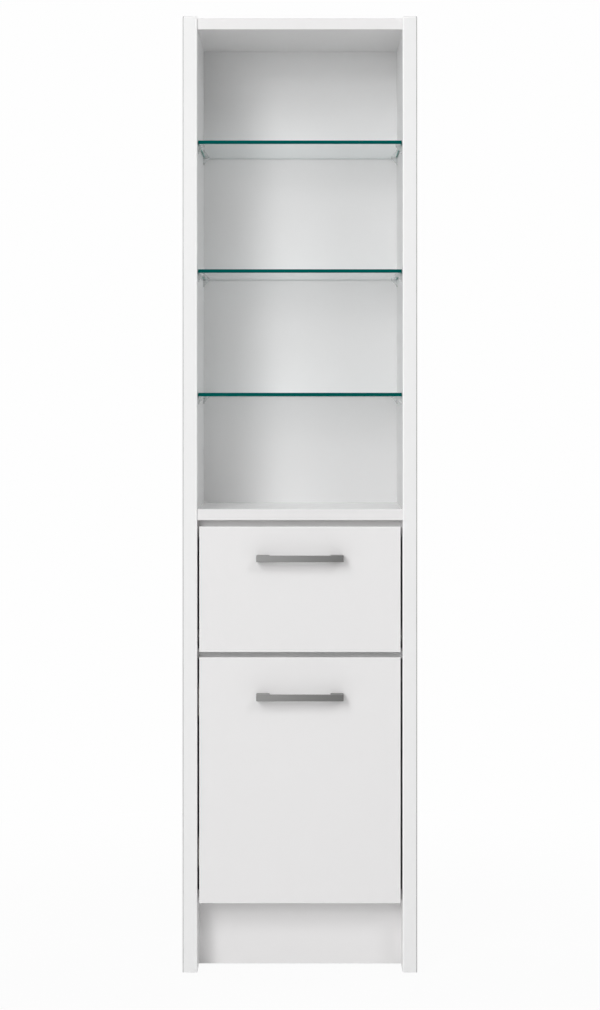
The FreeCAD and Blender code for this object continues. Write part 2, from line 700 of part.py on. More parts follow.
def cupboard_shelf_pin(side, depth, height):
    """A steel pin with a flat tab under the cupboard shelf."""
    face = side * inner
    pin = rod("X", (face, face + side * PIN_DEPTH), (depth, height), PIN_DIAMETER)
    tab = block((face, face - side * TAB_REACH), (depth - TAB_WIDTH / 2, depth + TAB_WIDTH / 2),
                (height - TAB_THICKNESS / 2, height + TAB_THICKNESS / 2))
    return fused([pin, tab])


# ---------------------------------------------------------------- fronts and handles
def front_board(z):
    """A drawer or door front with every edge of its face rounded."""
    panel = block((-front_half, front_half), (front, front_back), z)
    return panel.makeFillet(FRONT_ROUNDING, edges_on(panel, lambda p: near(p.y, front)))


def handle(height):
    """A flat bar handle cut as a bridge: two feet, a bar and rounded inner corners."""
    half = HANDLE_LENGTH / 2
    z = (height - HANDLE_HEIGHT / 2, height + HANDLE_HEIGHT / 2)
    body = block((-half, half), (front - HANDLE_PROJECTION, front), z)
    body = body.makeChamfer(HANDLE_EDGE, edges_on(body, lambda p: near(p.y, front - HANDLE_PROJECTION)))
    gap = block((HANDLE_FOOT - half, half - HANDLE_FOOT),
                (front - HANDLE_PROJECTION + HANDLE_BAR, front), z)
    inner_corners = edges_on(gap, lambda p: near(p.y, front - HANDLE_PROJECTION + HANDLE_BAR)
                             and near(p.z, height) and not near(p.x, 0.0))
    gap = gap.makeFillet(HANDLE_INNER_RADIUS, inner_corners)
    holes = [rod("Y", (front, front - HANDLE_SCREW_BITE - HOLE_RUN_OUT), (x, height),
                 HANDLE_SCREW_DIAMETER + 2 * FACE_PLAY) for x in handle_screw_places()]
    return drilled(body, [gap] + holes)


def handle_screw_places():
    return [step * HANDLE_PITCH / 2 for step in (-1, 1)]


def handle_screws(height):
    """Machine screws through a front into the handle's feet, heads inside."""
    head_diameter, head_height = HANDLE_SCREW_HEAD
    size = (head_diameter, head_height, HANDLE_SCREW_DIAMETER, BOARD_THICKNESS + HANDLE_SCREW_BITE)
    return [screw("Y", front_back, -1, (x, height), size) for x in handle_screw_places()]


def handle_screw_holes(height):
    return [rod("Y", (front, front_back), (x, height), HANDLE_SCREW_DIAMETER + 2 * FACE_PLAY)
            for x in handle_screw_places()]


# ---------------------------------------------------------------- drawer
def drawer_cam_heights():
    return box_bottom + DRAWER_CAM_MARGIN, box_top - DRAWER_CAM_MARGIN


def drawer_bottom_groove(x, y):
    """The groove for the drawer's bottom board, between two values on X and Y."""
    return block(x, y, (box_floor - DRAWER_GROOVE_PLAY,
                        box_floor + DRAWER_BOTTOM_THICKNESS + DRAWER_GROOVE_PLAY))


def drawer_front():
    """The drawer front, grooved and drilled behind for the box and the handle."""
    panel = front_board((drawer_front_bottom, drawer_front_top))
    groove_half = box_inner + DRAWER_GROOVE_DEPTH
    cuts = [drawer_bottom_groove((-groove_half, groove_half),
                                 (front_back - DRAWER_GROOVE_DEPTH, front_back))]
    for side in SIDES.values():
        x = side * box_side_middle
        for height in drawer_cam_heights():
            cuts.append(rod("Y", (front_back, front_back - BOLT_THREAD_LENGTH - HOLE_RUN_OUT),
                            (x, height), BOLT_THREAD_DIAMETER + 2 * FACE_PLAY))
        cuts.append(rod("Y", (front_back, front_back - DRAWER_DOWEL_IN_FRONT - HOLE_RUN_OUT),
                        (x, sum(drawer_cam_heights()) / 2), DRAWER_DOWEL_DIAMETER + 2 * FACE_PLAY))
    return drilled(panel, cuts + handle_screw_holes(drawer_handle_height))


def back_dowel_places():
    """Depth and height of the dowels between a drawer side and the drawer's back."""
    depth = box_back - DRAWER_SIDE_THICKNESS / 2
    return [(depth, height) for height in drawer_cam_heights()]


def drawer_side(side):
    """A drawer side, with the bottom's groove and the fittings' holes."""
    panel = block((side * box_inner, side * box_half), (front_back, box_back), (box_bottom, box_top))
    x = side * box_side_middle
    cam_y = front_back + DRAWER_CAM_CENTRE
    inside = side * box_inner
    cuts = [drawer_bottom_groove((inside, inside + side * DRAWER_GROOVE_DEPTH), (front_back, box_back))]
    for height in drawer_cam_heights():
        cuts.append(rod("X", (inside, inside + side * (DRAWER_CAM_DEPTH + HOLE_RUN_OUT / 2)),
                        (cam_y, height), DRAWER_CAM_DIAMETER + 2 * CAM_PLAY))
        cuts.append(rod("Y", (front_back, cam_y), (x, height), DRAWER_BOLT_DIAMETER + 2 * BOLT_ROOM))
    cuts.append(rod("Y", (front_back, front_back + DRAWER_DOWEL_IN_BOARD + HOLE_RUN_OUT),
                    (x, sum(drawer_cam_heights()) / 2), DRAWER_DOWEL_DIAMETER + 2 * FACE_PLAY))
    cuts += [rod("X", (inside, inside + side * (DRAWER_DOWEL_IN_SIDE + HOLE_RUN_OUT)), place,
                 DRAWER_DOWEL_DIAMETER + 2 * FACE_PLAY) for place in back_dowel_places()]
    cuts += [screw_hole("Z", box_bottom - RUNNER_STEEL, 1, (x, depth), RAIL_SCREW)
             for depth in rail_screw_depths()]
    return drilled(panel, cuts)


def drawer_back():
    """The drawer's back, standing on the bottom board between the sides."""
    panel = block((-box_inner, box_inner), (box_back - DRAWER_SIDE_THICKNESS, box_back),
                  (box_floor + DRAWER_BOTTOM_THICKNESS, box_top - DRAWER_BACK_DROP))
    holes = [rod("X", (side * box_inner, side * (box_inner - DRAWER_DOWEL_IN_BOARD - HOLE_RUN_OUT)),
                 place, DRAWER_DOWEL_DIAMETER + 2 * FACE_PLAY)
             for side in SIDES.values() for place in back_dowel_places()]
    return drilled(panel, holes)


def drawer_bottom():
    """The thin bottom board, in grooves on three sides and flush with the box's back."""
    x = box_inner + DRAWER_GROOVE_DEPTH - DRAWER_GROOVE_PLAY
    return block((-x, x), (front_back - DRAWER_GROOVE_DEPTH + DRAWER_GROOVE_PLAY, box_back),
                 (box_floor, box_floor + DRAWER_BOTTOM_THICKNESS))


def drawer_cam_lock(side, height):
    """A small cam lock flush in a drawer side, turned across the bolt from the front."""
    inside = side * box_inner
    cam_y = front_back + DRAWER_CAM_CENTRE
    lock = rod("X", (inside, inside + side * DRAWER_CAM_DEPTH), (cam_y, height), DRAWER_CAM_DIAMETER)
    length, width, deep = CAM_SLOT
    slot = block((inside, inside + side * deep), (cam_y - width / 2, cam_y + width / 2),
                 (height - length / 2, height + length / 2))
    mouth = rod("Y", (front_back, cam_y + BOLT_HEAD_LENGTH / 2 + BOLT_ROOM),
                (side * box_side_middle, height), DRAWER_BOLT_DIAMETER + 2 * BOLT_ROOM)
    return drilled(lock, [slot, mouth])


def drawer_cam_bolt(side, height):
    """The bolt screwed into the drawer front for one cam lock."""
    centre = (side * box_side_middle, height)
    head_end = front_back + DRAWER_CAM_CENTRE + BOLT_HEAD_LENGTH / 2
    head_start = head_end - BOLT_HEAD_LENGTH
    neck_start = head_start - BOLT_NECK_LENGTH
    return fused([
        rod("Y", (front_back - BOLT_THREAD_LENGTH, front_back), centre, BOLT_THREAD_DIAMETER),
        rod("Y", (front_back, neck_start), centre, DRAWER_BOLT_DIAMETER),
        rod("Y", (neck_start, head_start), centre, BOLT_NECK_DIAMETER),
        rod("Y", (head_start, head_end), centre, DRAWER_BOLT_DIAMETER),
    ])


def drawer_dowels():
    """The dowels of the drawer box: front to sides, and sides to back."""
    dowels = []
    for side in SIDES.values():
        middle = (side * box_side_middle, sum(drawer_cam_heights()) / 2)
        dowels.append(rod("Y", (front_back - DRAWER_DOWEL_IN_FRONT, front_back + DRAWER_DOWEL_IN_BOARD),
                          middle, DRAWER_DOWEL_DIAMETER))
        inside = side * box_inner
        ends = (inside + side * DRAWER_DOWEL_IN_SIDE, inside - side * DRAWER_DOWEL_IN_BOARD)
        dowels += [rod("X", ends, place, DRAWER_DOWEL_DIAMETER) for place in back_dowel_places()]
    return dowels


# ---------------------------------------------------------------- drawer runners
def rail_screw_depths():
    return front_back + RUNNER_SCREW_MARGIN, box_back - RUNNER_SCREW_MARGIN


def stop_depth():
    """Where the pressed stop ends, so that the drawer's roller meets it fully out."""
    drop = CHANNEL_INSIDE / 2 - STOP_DEPTH - (rear_roller_place[1] - channel_centre)
    half_chord = math.sqrt(max(roller_radius ** 2 - drop ** 2, 0.0))
    return rear_roller_place[0] - DRAWER_TRAVEL - half_chord - STOP_GAP


def axle_end(side, web_face, towards):
    """X positions along a roller's axle: web face, roller start, roller end, axle end."""
    start = web_face + towards * side * ROLLER_OFFSET
    end = start + towards * side * ROLLER_WIDTH
    return start, end, end + towards * side * ROLLER_END_PLAY


def cabinet_runner(side):
    """The carcass runner: a channel screwed to the side panel, cut open at its front roller."""
    face = side * inner
    web_face = face - side * RUNNER_STEEL
    reach = (face, face - side * CHANNEL_REACH)
    half = CHANNEL_INSIDE / 2
    web = block((face, web_face), (runner_front, runner_back),
                (channel_centre - half - RUNNER_STEEL, channel_centre + half + RUNNER_STEEL))
    flange_y = (runner_front + CHANNEL_START, runner_back)
    lower = block(reach, flange_y, (channel_centre - half - RUNNER_STEEL, channel_centre - half))
    upper = block(reach, flange_y, (channel_centre + half, channel_centre + half + RUNNER_STEEL))
    stop_end = stop_depth()
    stop = block((web_face, face - side * CHANNEL_REACH), (stop_end - STOP_LENGTH, stop_end),
                 (channel_centre + half - STOP_DEPTH, channel_centre + half))
    holes = [rod("X", (face, web_face), place, RUNNER_SCREW[2] + 2 * FACE_PLAY)
             for place in runner_screw_places()]
    holes.append(rod("X", (face, web_face), front_roller_place, AXLE_DIAMETER + 2 * PRESS_PLAY))
    return drilled(fused([web, lower, upper, stop]), holes)


def cabinet_runner_screws():
    return [screw("X", side * (inner - RUNNER_STEEL), side, place, RUNNER_SCREW)
            for side in SIDES.values() for place in runner_screw_places()]


def drawer_runner(side):
    """The drawer runner: a foot under the drawer side, a web, and the flange that rolls."""
    web_inner = side * box_half
    web_outer = side * (box_half + RUNNER_STEEL)
    y = (front_back + RAIL_FRONT_GAP, box_back)
    flange_top = channel_centre + FLANGE_RISE + RUNNER_STEEL
    foot = block((web_outer, web_inner - side * RAIL_FOOT), y, (box_bottom - RUNNER_STEEL, box_bottom))
    web = block((web_outer, web_inner), y, (box_bottom - RUNNER_STEEL, flange_top))
    flange_end = rear_roller_place[0] - roller_radius - FLANGE_END_GAP
    flange = block((web_inner, web_outer + side * FLANGE_REACH), (y[0], flange_end),
                   (channel_centre + FLANGE_RISE, flange_top))
    holes = [rod("Z", (box_bottom - RUNNER_STEEL, box_bottom), (side * box_side_middle, depth),
                 RAIL_SCREW[2] + 2 * FACE_PLAY) for depth in rail_screw_depths()]
    holes.append(rod("X", (web_inner, web_outer), rear_roller_place, AXLE_DIAMETER + 2 * PRESS_PLAY))
    return drilled(fused([foot, web, flange]), holes)


def drawer_runner_screws():
    return [screw("Z", box_bottom - RUNNER_STEEL, 1, (side * box_side_middle, depth), RAIL_SCREW)
            for side in SIDES.values() for depth in rail_screw_depths()]


def roller(side, web_face, towards, place):
    """A nylon roller with a bore, beside the web that carries its axle."""
    start, end, _ = axle_end(side, web_face, towards)
    wheel = rod("X", (start, end), place, ROLLER_DIAMETER)
    rims = [edge for edge in wheel.Edges if near(edge.CenterOfMass.y, place[0])
            and near(edge.CenterOfMass.z, place[1])]
    wheel = wheel.makeChamfer(ROLLER_CHAMFER, rims)
    return wheel.cut(rod("X", (start, end), place, AXLE_DIAMETER + 2 * ROLLER_BORE_PLAY))


def roller_axle(side, web_face, towards, place):
    """A riveted axle: shank through the web, and a head that keeps the roller on."""
    start, _, head_start = axle_end(side, web_face, towards)
    head_diameter, head_thickness = AXLE_HEAD
    web_back = web_face - towards * side * RUNNER_STEEL
    shoulder_end = start - towards * side * ROLLER_END_PLAY
    return fused([
        rod("X", (web_back, head_start), place, AXLE_DIAMETER),
        rod("X", (web_face, shoulder_end), place, head_diameter),
        rod("X", (head_start, head_start + towards * side * head_thickness), place, head_diameter),
    ])


# The carcass's rollers stand inwards from the channel's web, the drawer's stand outwards.
def cabinet_roller_site(side):
    return side, side * (inner - RUNNER_STEEL), -1, front_roller_place


def drawer_roller_site(side):
    return side, side * (box_half + RUNNER_STEEL), 1, rear_roller_place


# ---------------------------------------------------------------- door
def cup_screw_places():
    """X and height of the hinge cups' screws in the door."""
    x = cup_x + CUP_SCREW_OFFSET
    return [(x, height + step * CUP_SCREW_PITCH / 2)
            for height in hinge_heights.values() for step in (-1, 1)]


def catch_plate_place():
    return catch_x, catch_height


def door_panel():
    """The door, bored behind for the hinge cups and drilled for its handle and catch plate."""
    panel = front_board((door_bottom, door_top))
    cups = [rod("Y", (cup_floor_y - CUP_FLOOR - CUP_PLAY, front_back), (cup_x, height),
                CUP_DIAMETER + 2 * CUP_PLAY) for height in hinge_heights.values()]
    screws = [screw_hole("Y", front_back, -1, place, CUP_SCREW)
              for place in cup_screw_places() + [catch_plate_place()]]
    return drilled(panel, cups + screws + handle_screw_holes(door_handle_height))


def hinge_cup(height):
    """A cup let into the door, with its flange and the pocket that the arm swings in."""
    centre = (cup_x, height)
    cup = rod("Y", (cup_floor_y - CUP_FLOOR, front_back), centre, CUP_DIAMETER)
    flange_y = (front_back, front_back + CUP_FLANGE)
    rim = rod("Y", flange_y, centre, CUP_FLANGE_DIAMETER)
    wing_height, wing_width = CUP_WING
    wing_x = cup_x + CUP_SCREW_OFFSET
    wing = block((wing_x - wing_width / 2, wing_x + wing_width / 2), flange_y,
                 (height - wing_height / 2, height + wing_height / 2))
    pocket_y = (cup_floor_y, front_back + CUP_FLANGE)
    pocket = block((cup_x - CUP_DIAMETER / 2, cup_x + CUP_DIAMETER / 2), pocket_y,
                   (height - CUP_POCKET / 2, height + CUP_POCKET / 2))
    pocket = pocket.common(rod("Y", pocket_y, centre, CUP_DIAMETER - 2 * CUP_WALL))
    holes = [rod("Y", flange_y, place, CUP_SCREW[2] + 2 * FACE_PLAY) for place in cup_screw_places()]
    pin_hole = rod("Z", pin_span(height), (pivot_x, pivot_y), PIVOT_DIAMETER + 2 * PRESS_PLAY)
    return drilled(fused([cup, rim, wing]), [pocket, pin_hole] + holes)


def pin_span(height):
    """Heights between which a hinge pin lies, its ends held in the cup's walls."""
    reach = CUP_POCKET / 2 + EYE_DIAMETER
    return height - reach, height + reach


def hinge_pin(height):
    return rod("Z", pin_span(height), (pivot_x, pivot_y), PIVOT_DIAMETER)


def hinge_arm(height):
    """A cranked arm: an eye on the pin, a bend round the door's edge, a channel on the plate."""
    z = (height - ARM_WIDTH / 2, height + ARM_WIDTH / 2)
    straight_x = -inner + ARM_LIFT
    route = [(pivot_x, pivot_y)]
    route += [(door_left + x, front + y) for x, y in ARM_ROUTE]
    route += [(straight_x, front + y) for y in ARM_STRAIGHT]
    bent = strip(route, ARM_BEND, ARM_STEEL, z)
    eye = rod("Z", z, (pivot_x, pivot_y), EYE_DIAMETER)
    cheek, depth = ARM_CHEEK
    cheeks = [block((straight_x + ARM_STEEL / 2, straight_x + ARM_STEEL / 2 - depth),
                    (front + PLATE_BLOCK[0], front + ARM_STRAIGHT[1]),
                    (height + side * (ARM_WIDTH / 2 + PLATE_BLOCK_PLAY),
                     height + side * (ARM_WIDTH / 2 + PLATE_BLOCK_PLAY + cheek)))
              for side in (-1, 1)]
    flats = block((straight_x - ARM_STEEL / 2, straight_x + ARM_STEEL / 2),
                  (front + PLATE_BLOCK[0], front + ARM_STRAIGHT[1]),
                  (height - ARM_WIDTH / 2 - PLATE_BLOCK_PLAY, height + ARM_WIDTH / 2 + PLATE_BLOCK_PLAY))
    arm = fused([bent, eye, flats] + cheeks)
    bore = rod("Z", z, (pivot_x, pivot_y), PIVOT_DIAMETER + 2 * PIVOT_PLAY)
    screw_way = rod("X", (straight_x - ARM_STEEL, straight_x + ARM_STEEL),
                    (front + ARM_SCREW_INSET, height), ARM_SCREW[2] + 2 * FACE_PLAY)
    return drilled(arm, [bore, screw_way])


def hinge_plate(height):
    """The mounting plate: wings screwed to the side panel and a block that carries the arm."""
    wing_height, wing_depth, wing_thickness = PLATE_WING
    y = front + PLATE_SCREW_INSET
    wings = block((-inner, wing_thickness - inner), (y - wing_depth / 2, y + wing_depth / 2),
                  (height - wing_height / 2, height + wing_height / 2))
    block_top = ARM_LIFT - ARM_STEEL / 2 - inner
    raised = block((-inner, block_top), (front + PLATE_BLOCK[0], front + PLATE_BLOCK[1]),
                   (height - ARM_WIDTH / 2, height + ARM_WIDTH / 2))
    holes = [rod("X", (-inner, wing_thickness - inner), place, HINGE_SCREW[2] + 2 * FACE_PLAY)
             for place in hinge_screw_places()]
    holes.append(rod("X", (block_top - ARM_SCREW[3], block_top), (front + ARM_SCREW_INSET, height),
                     ARM_SCREW[2] + 2 * FACE_PLAY))
    return drilled(fused([wings, raised]), holes)


def hinge_screws():
    """The plates' screws in the side panel, and the screws that hold the arms on the plates."""
    wing_face = PLATE_WING[2] - inner
    arm_face = ARM_LIFT + ARM_STEEL / 2 - inner
    plates = [screw("X", wing_face, -1, place, HINGE_SCREW) for place in hinge_screw_places()]
    arms = [screw("X", arm_face, -1, (front + ARM_SCREW_INSET, height), ARM_SCREW)
            for height in hinge_heights.values()]
    return plates + arms


def door_screws():
    """The screws of the hinge cups and of the catch plate."""
    cups = [screw("Y", front_back + CUP_FLANGE, -1, place, CUP_SCREW) for place in cup_screw_places()]
    return cups + [screw("Y", front_back + CATCH_PLATE[1], -1, catch_plate_place(), CUP_SCREW)]


def catch_pin_places():
    """Plan position of the magnetic catch's two pins in the divider."""
    depth = divider_board.y[0] + CATCH_SIZE[1] / 2
    return [(catch_x + step * CATCH_PIN_PITCH / 2, depth) for step in (-1, 1)]


def magnetic_catch():
    """A magnetic catch pressed up into the divider, its magnet facing the door's plate."""
    length, _, height = CATCH_SIZE
    catch_front = front_back + CATCH_PLATE[1] + CUP_SCREW[1] + CATCH_GAP
    body = block((catch_x - length / 2, catch_x + length / 2),
                 (catch_front, divider_board.y[0] + CATCH_SIZE[1]),
                 (divider_underside - height, divider_underside))
    pins = [rod("Z", (divider_underside - height / 2, divider_underside + CATCH_PIN_LENGTH), place,
                PIN_DIAMETER) for place in catch_pin_places()]
    return fused([body] + pins)


def catch_plate():
    """The steel plate on the door that the magnet holds."""
    length, thickness, height = CATCH_PLATE
    x, z = catch_plate_place()
    y = (front_back, front_back + thickness)
    plate = block((x - length / 2, x + length / 2), y, (z - height / 2, z + height / 2))
    return plate.cut(rod("Y", y, (x, z), CUP_SCREW[2] + 2 * FACE_PLAY))


# ---------------------------------------------------------------- all pieces
def carcass():
    pieces = {f"side_panel_{name}": side_panel(side) for name, side in SIDES.items()}
    pieces.update({
        "top_panel": top_panel(),
        "fixed_shelf": fixed_shelf(),
        "divider_panel": divider_panel(),
        "bottom_panel": bottom_panel(),
        "drawer_rail": upright_board(front + INNER_SETBACK, (rail_underside, shelf_underside),
                                     rail_dowels),
        "kick_plate": upright_board(front + KICK_SETBACK, (side_bottom, bottom_underside), kick_dowels),
        "back_panel": back_panel(),
        "back_panel_screws": back_panel_screws(),
        "cam_locks": [cam_fitting(*place) for place in cam_places()],
        "cam_bolts": [cam_bolt(*place) for place in cam_places()],
        "dowels": [dowel(side, place) for side in SIDES.values() for place in all_dowels()],
        "glides": [glide(place) for place in glide_places()],
        "wall_bracket": wall_bracket(),
        "wall_bracket_screws": wall_bracket_screws(),
    })
    return pieces


def shelves():
    pieces = {}
    for name, level in glass_levels.items():
        pieces[f"glass_shelf_{name}"] = glass_shelf(level)
        pieces[f"glass_supports_{name}"] = glass_supports(level)
    pieces["cupboard_shelf"] = cupboard_shelf()
    pieces["cupboard_shelf_pins"] = [cupboard_shelf_pin(side, *place) for side in SIDES.values()
                                     for place in cupboard_pin_places()]
    return pieces


def drawer():
    cams = [(side, height) for side in SIDES.values() for height in drawer_cam_heights()]
    pieces = {f"drawer_side_{name}": drawer_side(side) for name, side in SIDES.items()}
    pieces.update({
        "drawer_front": drawer_front(),
        "drawer_back": drawer_back(),
        "drawer_bottom": drawer_bottom(),
        "drawer_handle": handle(drawer_handle_height),
        "drawer_handle_screws": handle_screws(drawer_handle_height),
        "drawer_cam_locks": [drawer_cam_lock(*cam) for cam in cams],
        "drawer_cam_bolts": [drawer_cam_bolt(*cam) for cam in cams],
        "drawer_dowels": drawer_dowels(),
    })
    return pieces


def runners():
    pieces = {}
    for name, side in SIDES.items():
        pieces[f"cabinet_runner_{name}"] = cabinet_runner(side)
        pieces[f"drawer_runner_{name}"] = drawer_runner(side)
        pieces[f"cabinet_roller_{name}"] = roller(*cabinet_roller_site(side))
        pieces[f"drawer_roller_{name}"] = roller(*drawer_roller_site(side))
    pieces["cabinet_runner_screws"] = cabinet_runner_screws()
    pieces["drawer_runner_screws"] = drawer_runner_screws()
    pieces["cabinet_roller_axles"] = [roller_axle(*cabinet_roller_site(s)) for s in SIDES.values()]
    pieces["drawer_roller_axles"] = [roller_axle(*drawer_roller_site(s)) for s in SIDES.values()]
    return pieces


def door():
    pieces = {
        "door_panel": door_panel(),
        "door_handle": handle(door_handle_height),
        "door_handle_screws": handle_screws(door_handle_height),
        "door_screws": door_screws(),
        "hinge_pins": [hinge_pin(height) for height in hinge_heights.values()],
        "hinge_screws": hinge_screws(),
        "magnetic_catch": magnetic_catch(),
        "catch_plate": catch_plate(),
    }
    for name, height in hinge_heights.items():
        pieces[f"hinge_cup_{name}"] = hinge_cup(height)
        pieces[f"hinge_arm_{name}"] = hinge_arm(height)
        pieces[f"hinge_plate_{name}"] = hinge_plate(height)
    return pieces


def main():
    os.makedirs("parts", exist_ok=True)
    pieces = {**carcass(), **shelves(), **drawer(), **runners(), **door()}
    for name, shape in sorted(pieces.items()):
        solids = shape if isinstance(shape, list) else shape.Solids
        whole = solids[0] if len(solids) == 1 else Part.makeCompound(solids)
        if not whole.isValid():
            raise ValueError(f"{name} is not a valid shape")
        whole.exportStep(f"parts/{name}.step")
        box = whole.BoundBox
        print(f"{name:24s} {len(solids):3d} solid(s)  x {box.XMin:8.2f} {box.XMax:8.2f}  "
              f"y {box.YMin:8.2f} {box.YMax:8.2f}  z {box.ZMin:8.2f} {box.ZMax:8.2f}")


main()
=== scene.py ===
import json
import logging
import math
from dataclasses import dataclass
from enum import Enum, IntEnum, StrEnum
from functools import cached_property
from typing import Any, Callable, Iterable, Sequence

import bpy
from mathutils import Matrix, Vector


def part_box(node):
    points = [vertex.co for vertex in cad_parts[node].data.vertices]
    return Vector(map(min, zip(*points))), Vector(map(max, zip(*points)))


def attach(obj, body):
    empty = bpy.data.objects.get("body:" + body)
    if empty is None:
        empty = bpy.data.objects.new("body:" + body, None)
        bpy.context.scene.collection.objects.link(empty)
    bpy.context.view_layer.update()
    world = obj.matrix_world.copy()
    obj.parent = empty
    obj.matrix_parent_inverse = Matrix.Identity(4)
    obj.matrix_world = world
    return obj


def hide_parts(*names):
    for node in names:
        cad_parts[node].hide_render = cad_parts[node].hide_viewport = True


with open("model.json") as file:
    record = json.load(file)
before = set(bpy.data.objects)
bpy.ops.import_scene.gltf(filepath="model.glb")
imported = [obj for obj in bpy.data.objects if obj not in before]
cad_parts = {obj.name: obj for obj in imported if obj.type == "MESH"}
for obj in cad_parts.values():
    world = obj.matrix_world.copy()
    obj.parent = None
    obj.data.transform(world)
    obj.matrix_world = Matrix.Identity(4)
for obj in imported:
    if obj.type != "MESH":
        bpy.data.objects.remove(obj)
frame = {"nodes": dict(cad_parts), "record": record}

log = logging.getLogger("bathroom_cabinet")
Colour = tuple[float, float, float]
Span = tuple[Vector, Vector]

FACING = 0.9                    # share of a face's normal that counts as facing along an axis
SQUARE = 0.99                   # the same, for a face with no slant at all
SAME_PLACE = 1e-5               # metres
SAME_POINT = 1e-6               # metres
MIX_FACTOR, MIX_FIRST, MIX_SECOND = 0, 6, 7     # a Mix node's inputs for colours, by number
MIX_RESULT = 2                  # its output for colours


class Axis(Enum):
    """A direction in the cabinet's frame."""

    X = 0
    Y = 1
    Z = 2


class Element(Enum):
    """What is picked in edit mode."""

    FACE = "FACE"
    EDGE = "EDGE"
    VERTEX = "VERT"


class Level(StrEnum):
    """The three glass shelves, from the lowest up."""

    LOWER = "lower"
    MIDDLE = "middle"
    UPPER = "upper"


class Body(StrEnum):
    """The bodies that new pieces ride on."""

    CABINET = "cabinet"
    DRAWER = "drawer"
    DOOR = "door"


class PaneSide(IntEnum):
    """The material slots of a glass shelf."""

    CLEAR = 0
    FRONT = 1
    END = 2


# ------------------------------------------------------------------ colours
def linear(red: float, green: float, blue: float) -> Colour:
    """Turn a colour as it is seen into the values that a shader uses.

    Args:
        red: Red share, 0 to 255.
        green: Green share, 0 to 255.
        blue: Blue share, 0 to 255.

    Returns:
        The same colour in linear light, by the sRGB curve.
    """
    shares = (v / 255 for v in (red, green, blue))
    return tuple(v / 12.92 if v <= 0.04045 else ((v + 0.055) / 1.055) ** 2.4 for v in shares)


def grey(level: float) -> Colour:
    """A neutral grey, 0 to 255 as it is seen, in linear light."""
    return linear(level, level, level)


def dimmed(colour: Colour, share: float) -> Colour:
    """A colour at a share of its light."""
    return tuple(v * share for v in colour)


# ------------------------------------------------------------------ shader sheets
class Signal:
    """A value that runs from one node to the next; arithmetic on it adds Math nodes."""

    def __init__(self, recipe: "Recipe", socket: bpy.types.NodeSocket) -> None:
        """Hold the socket and the recipe that it belongs to."""
        self.recipe = recipe
        self.socket = socket

    def _math(self, operation: str, first: Any, second: Any) -> "Signal":
        """Add one Math node and return its result."""
        return self.recipe.signal("ShaderNodeMath", {"operation": operation}, {0: first, 1: second})

    def __add__(self, other: Any) -> "Signal":
        """Add a number or a signal."""
        return self._math("ADD", self, other)

    def __radd__(self, other: Any) -> "Signal":
        """Add this to a number."""
        return self._math("ADD", other, self)

    def __sub__(self, other: Any) -> "Signal":
        """Take away a number or a signal."""
        return self._math("SUBTRACT", self, other)

    def __rsub__(self, other: Any) -> "Signal":
        """Take this away from a number."""
        return self._math("SUBTRACT", other, self)

    def __mul__(self, other: Any) -> "Signal":
        """Multiply by a number or a signal."""
        return self._math("MULTIPLY", self, other)

    def __rmul__(self, other: Any) -> "Signal":
        """Multiply a number by this."""
        return self._math("MULTIPLY", other, self)

    def __pow__(self, other: Any) -> "Signal":
        """Raise to a power."""
        return self._math("POWER", self, other)

    def __gt__(self, other: Any) -> "Signal":
        """One where this is larger, else zero."""
        return self._math("GREATER_THAN", self, other)

    def larger(self, other: Any) -> "Signal":
        """The larger of the two."""
        return self._math("MAXIMUM", self, other)


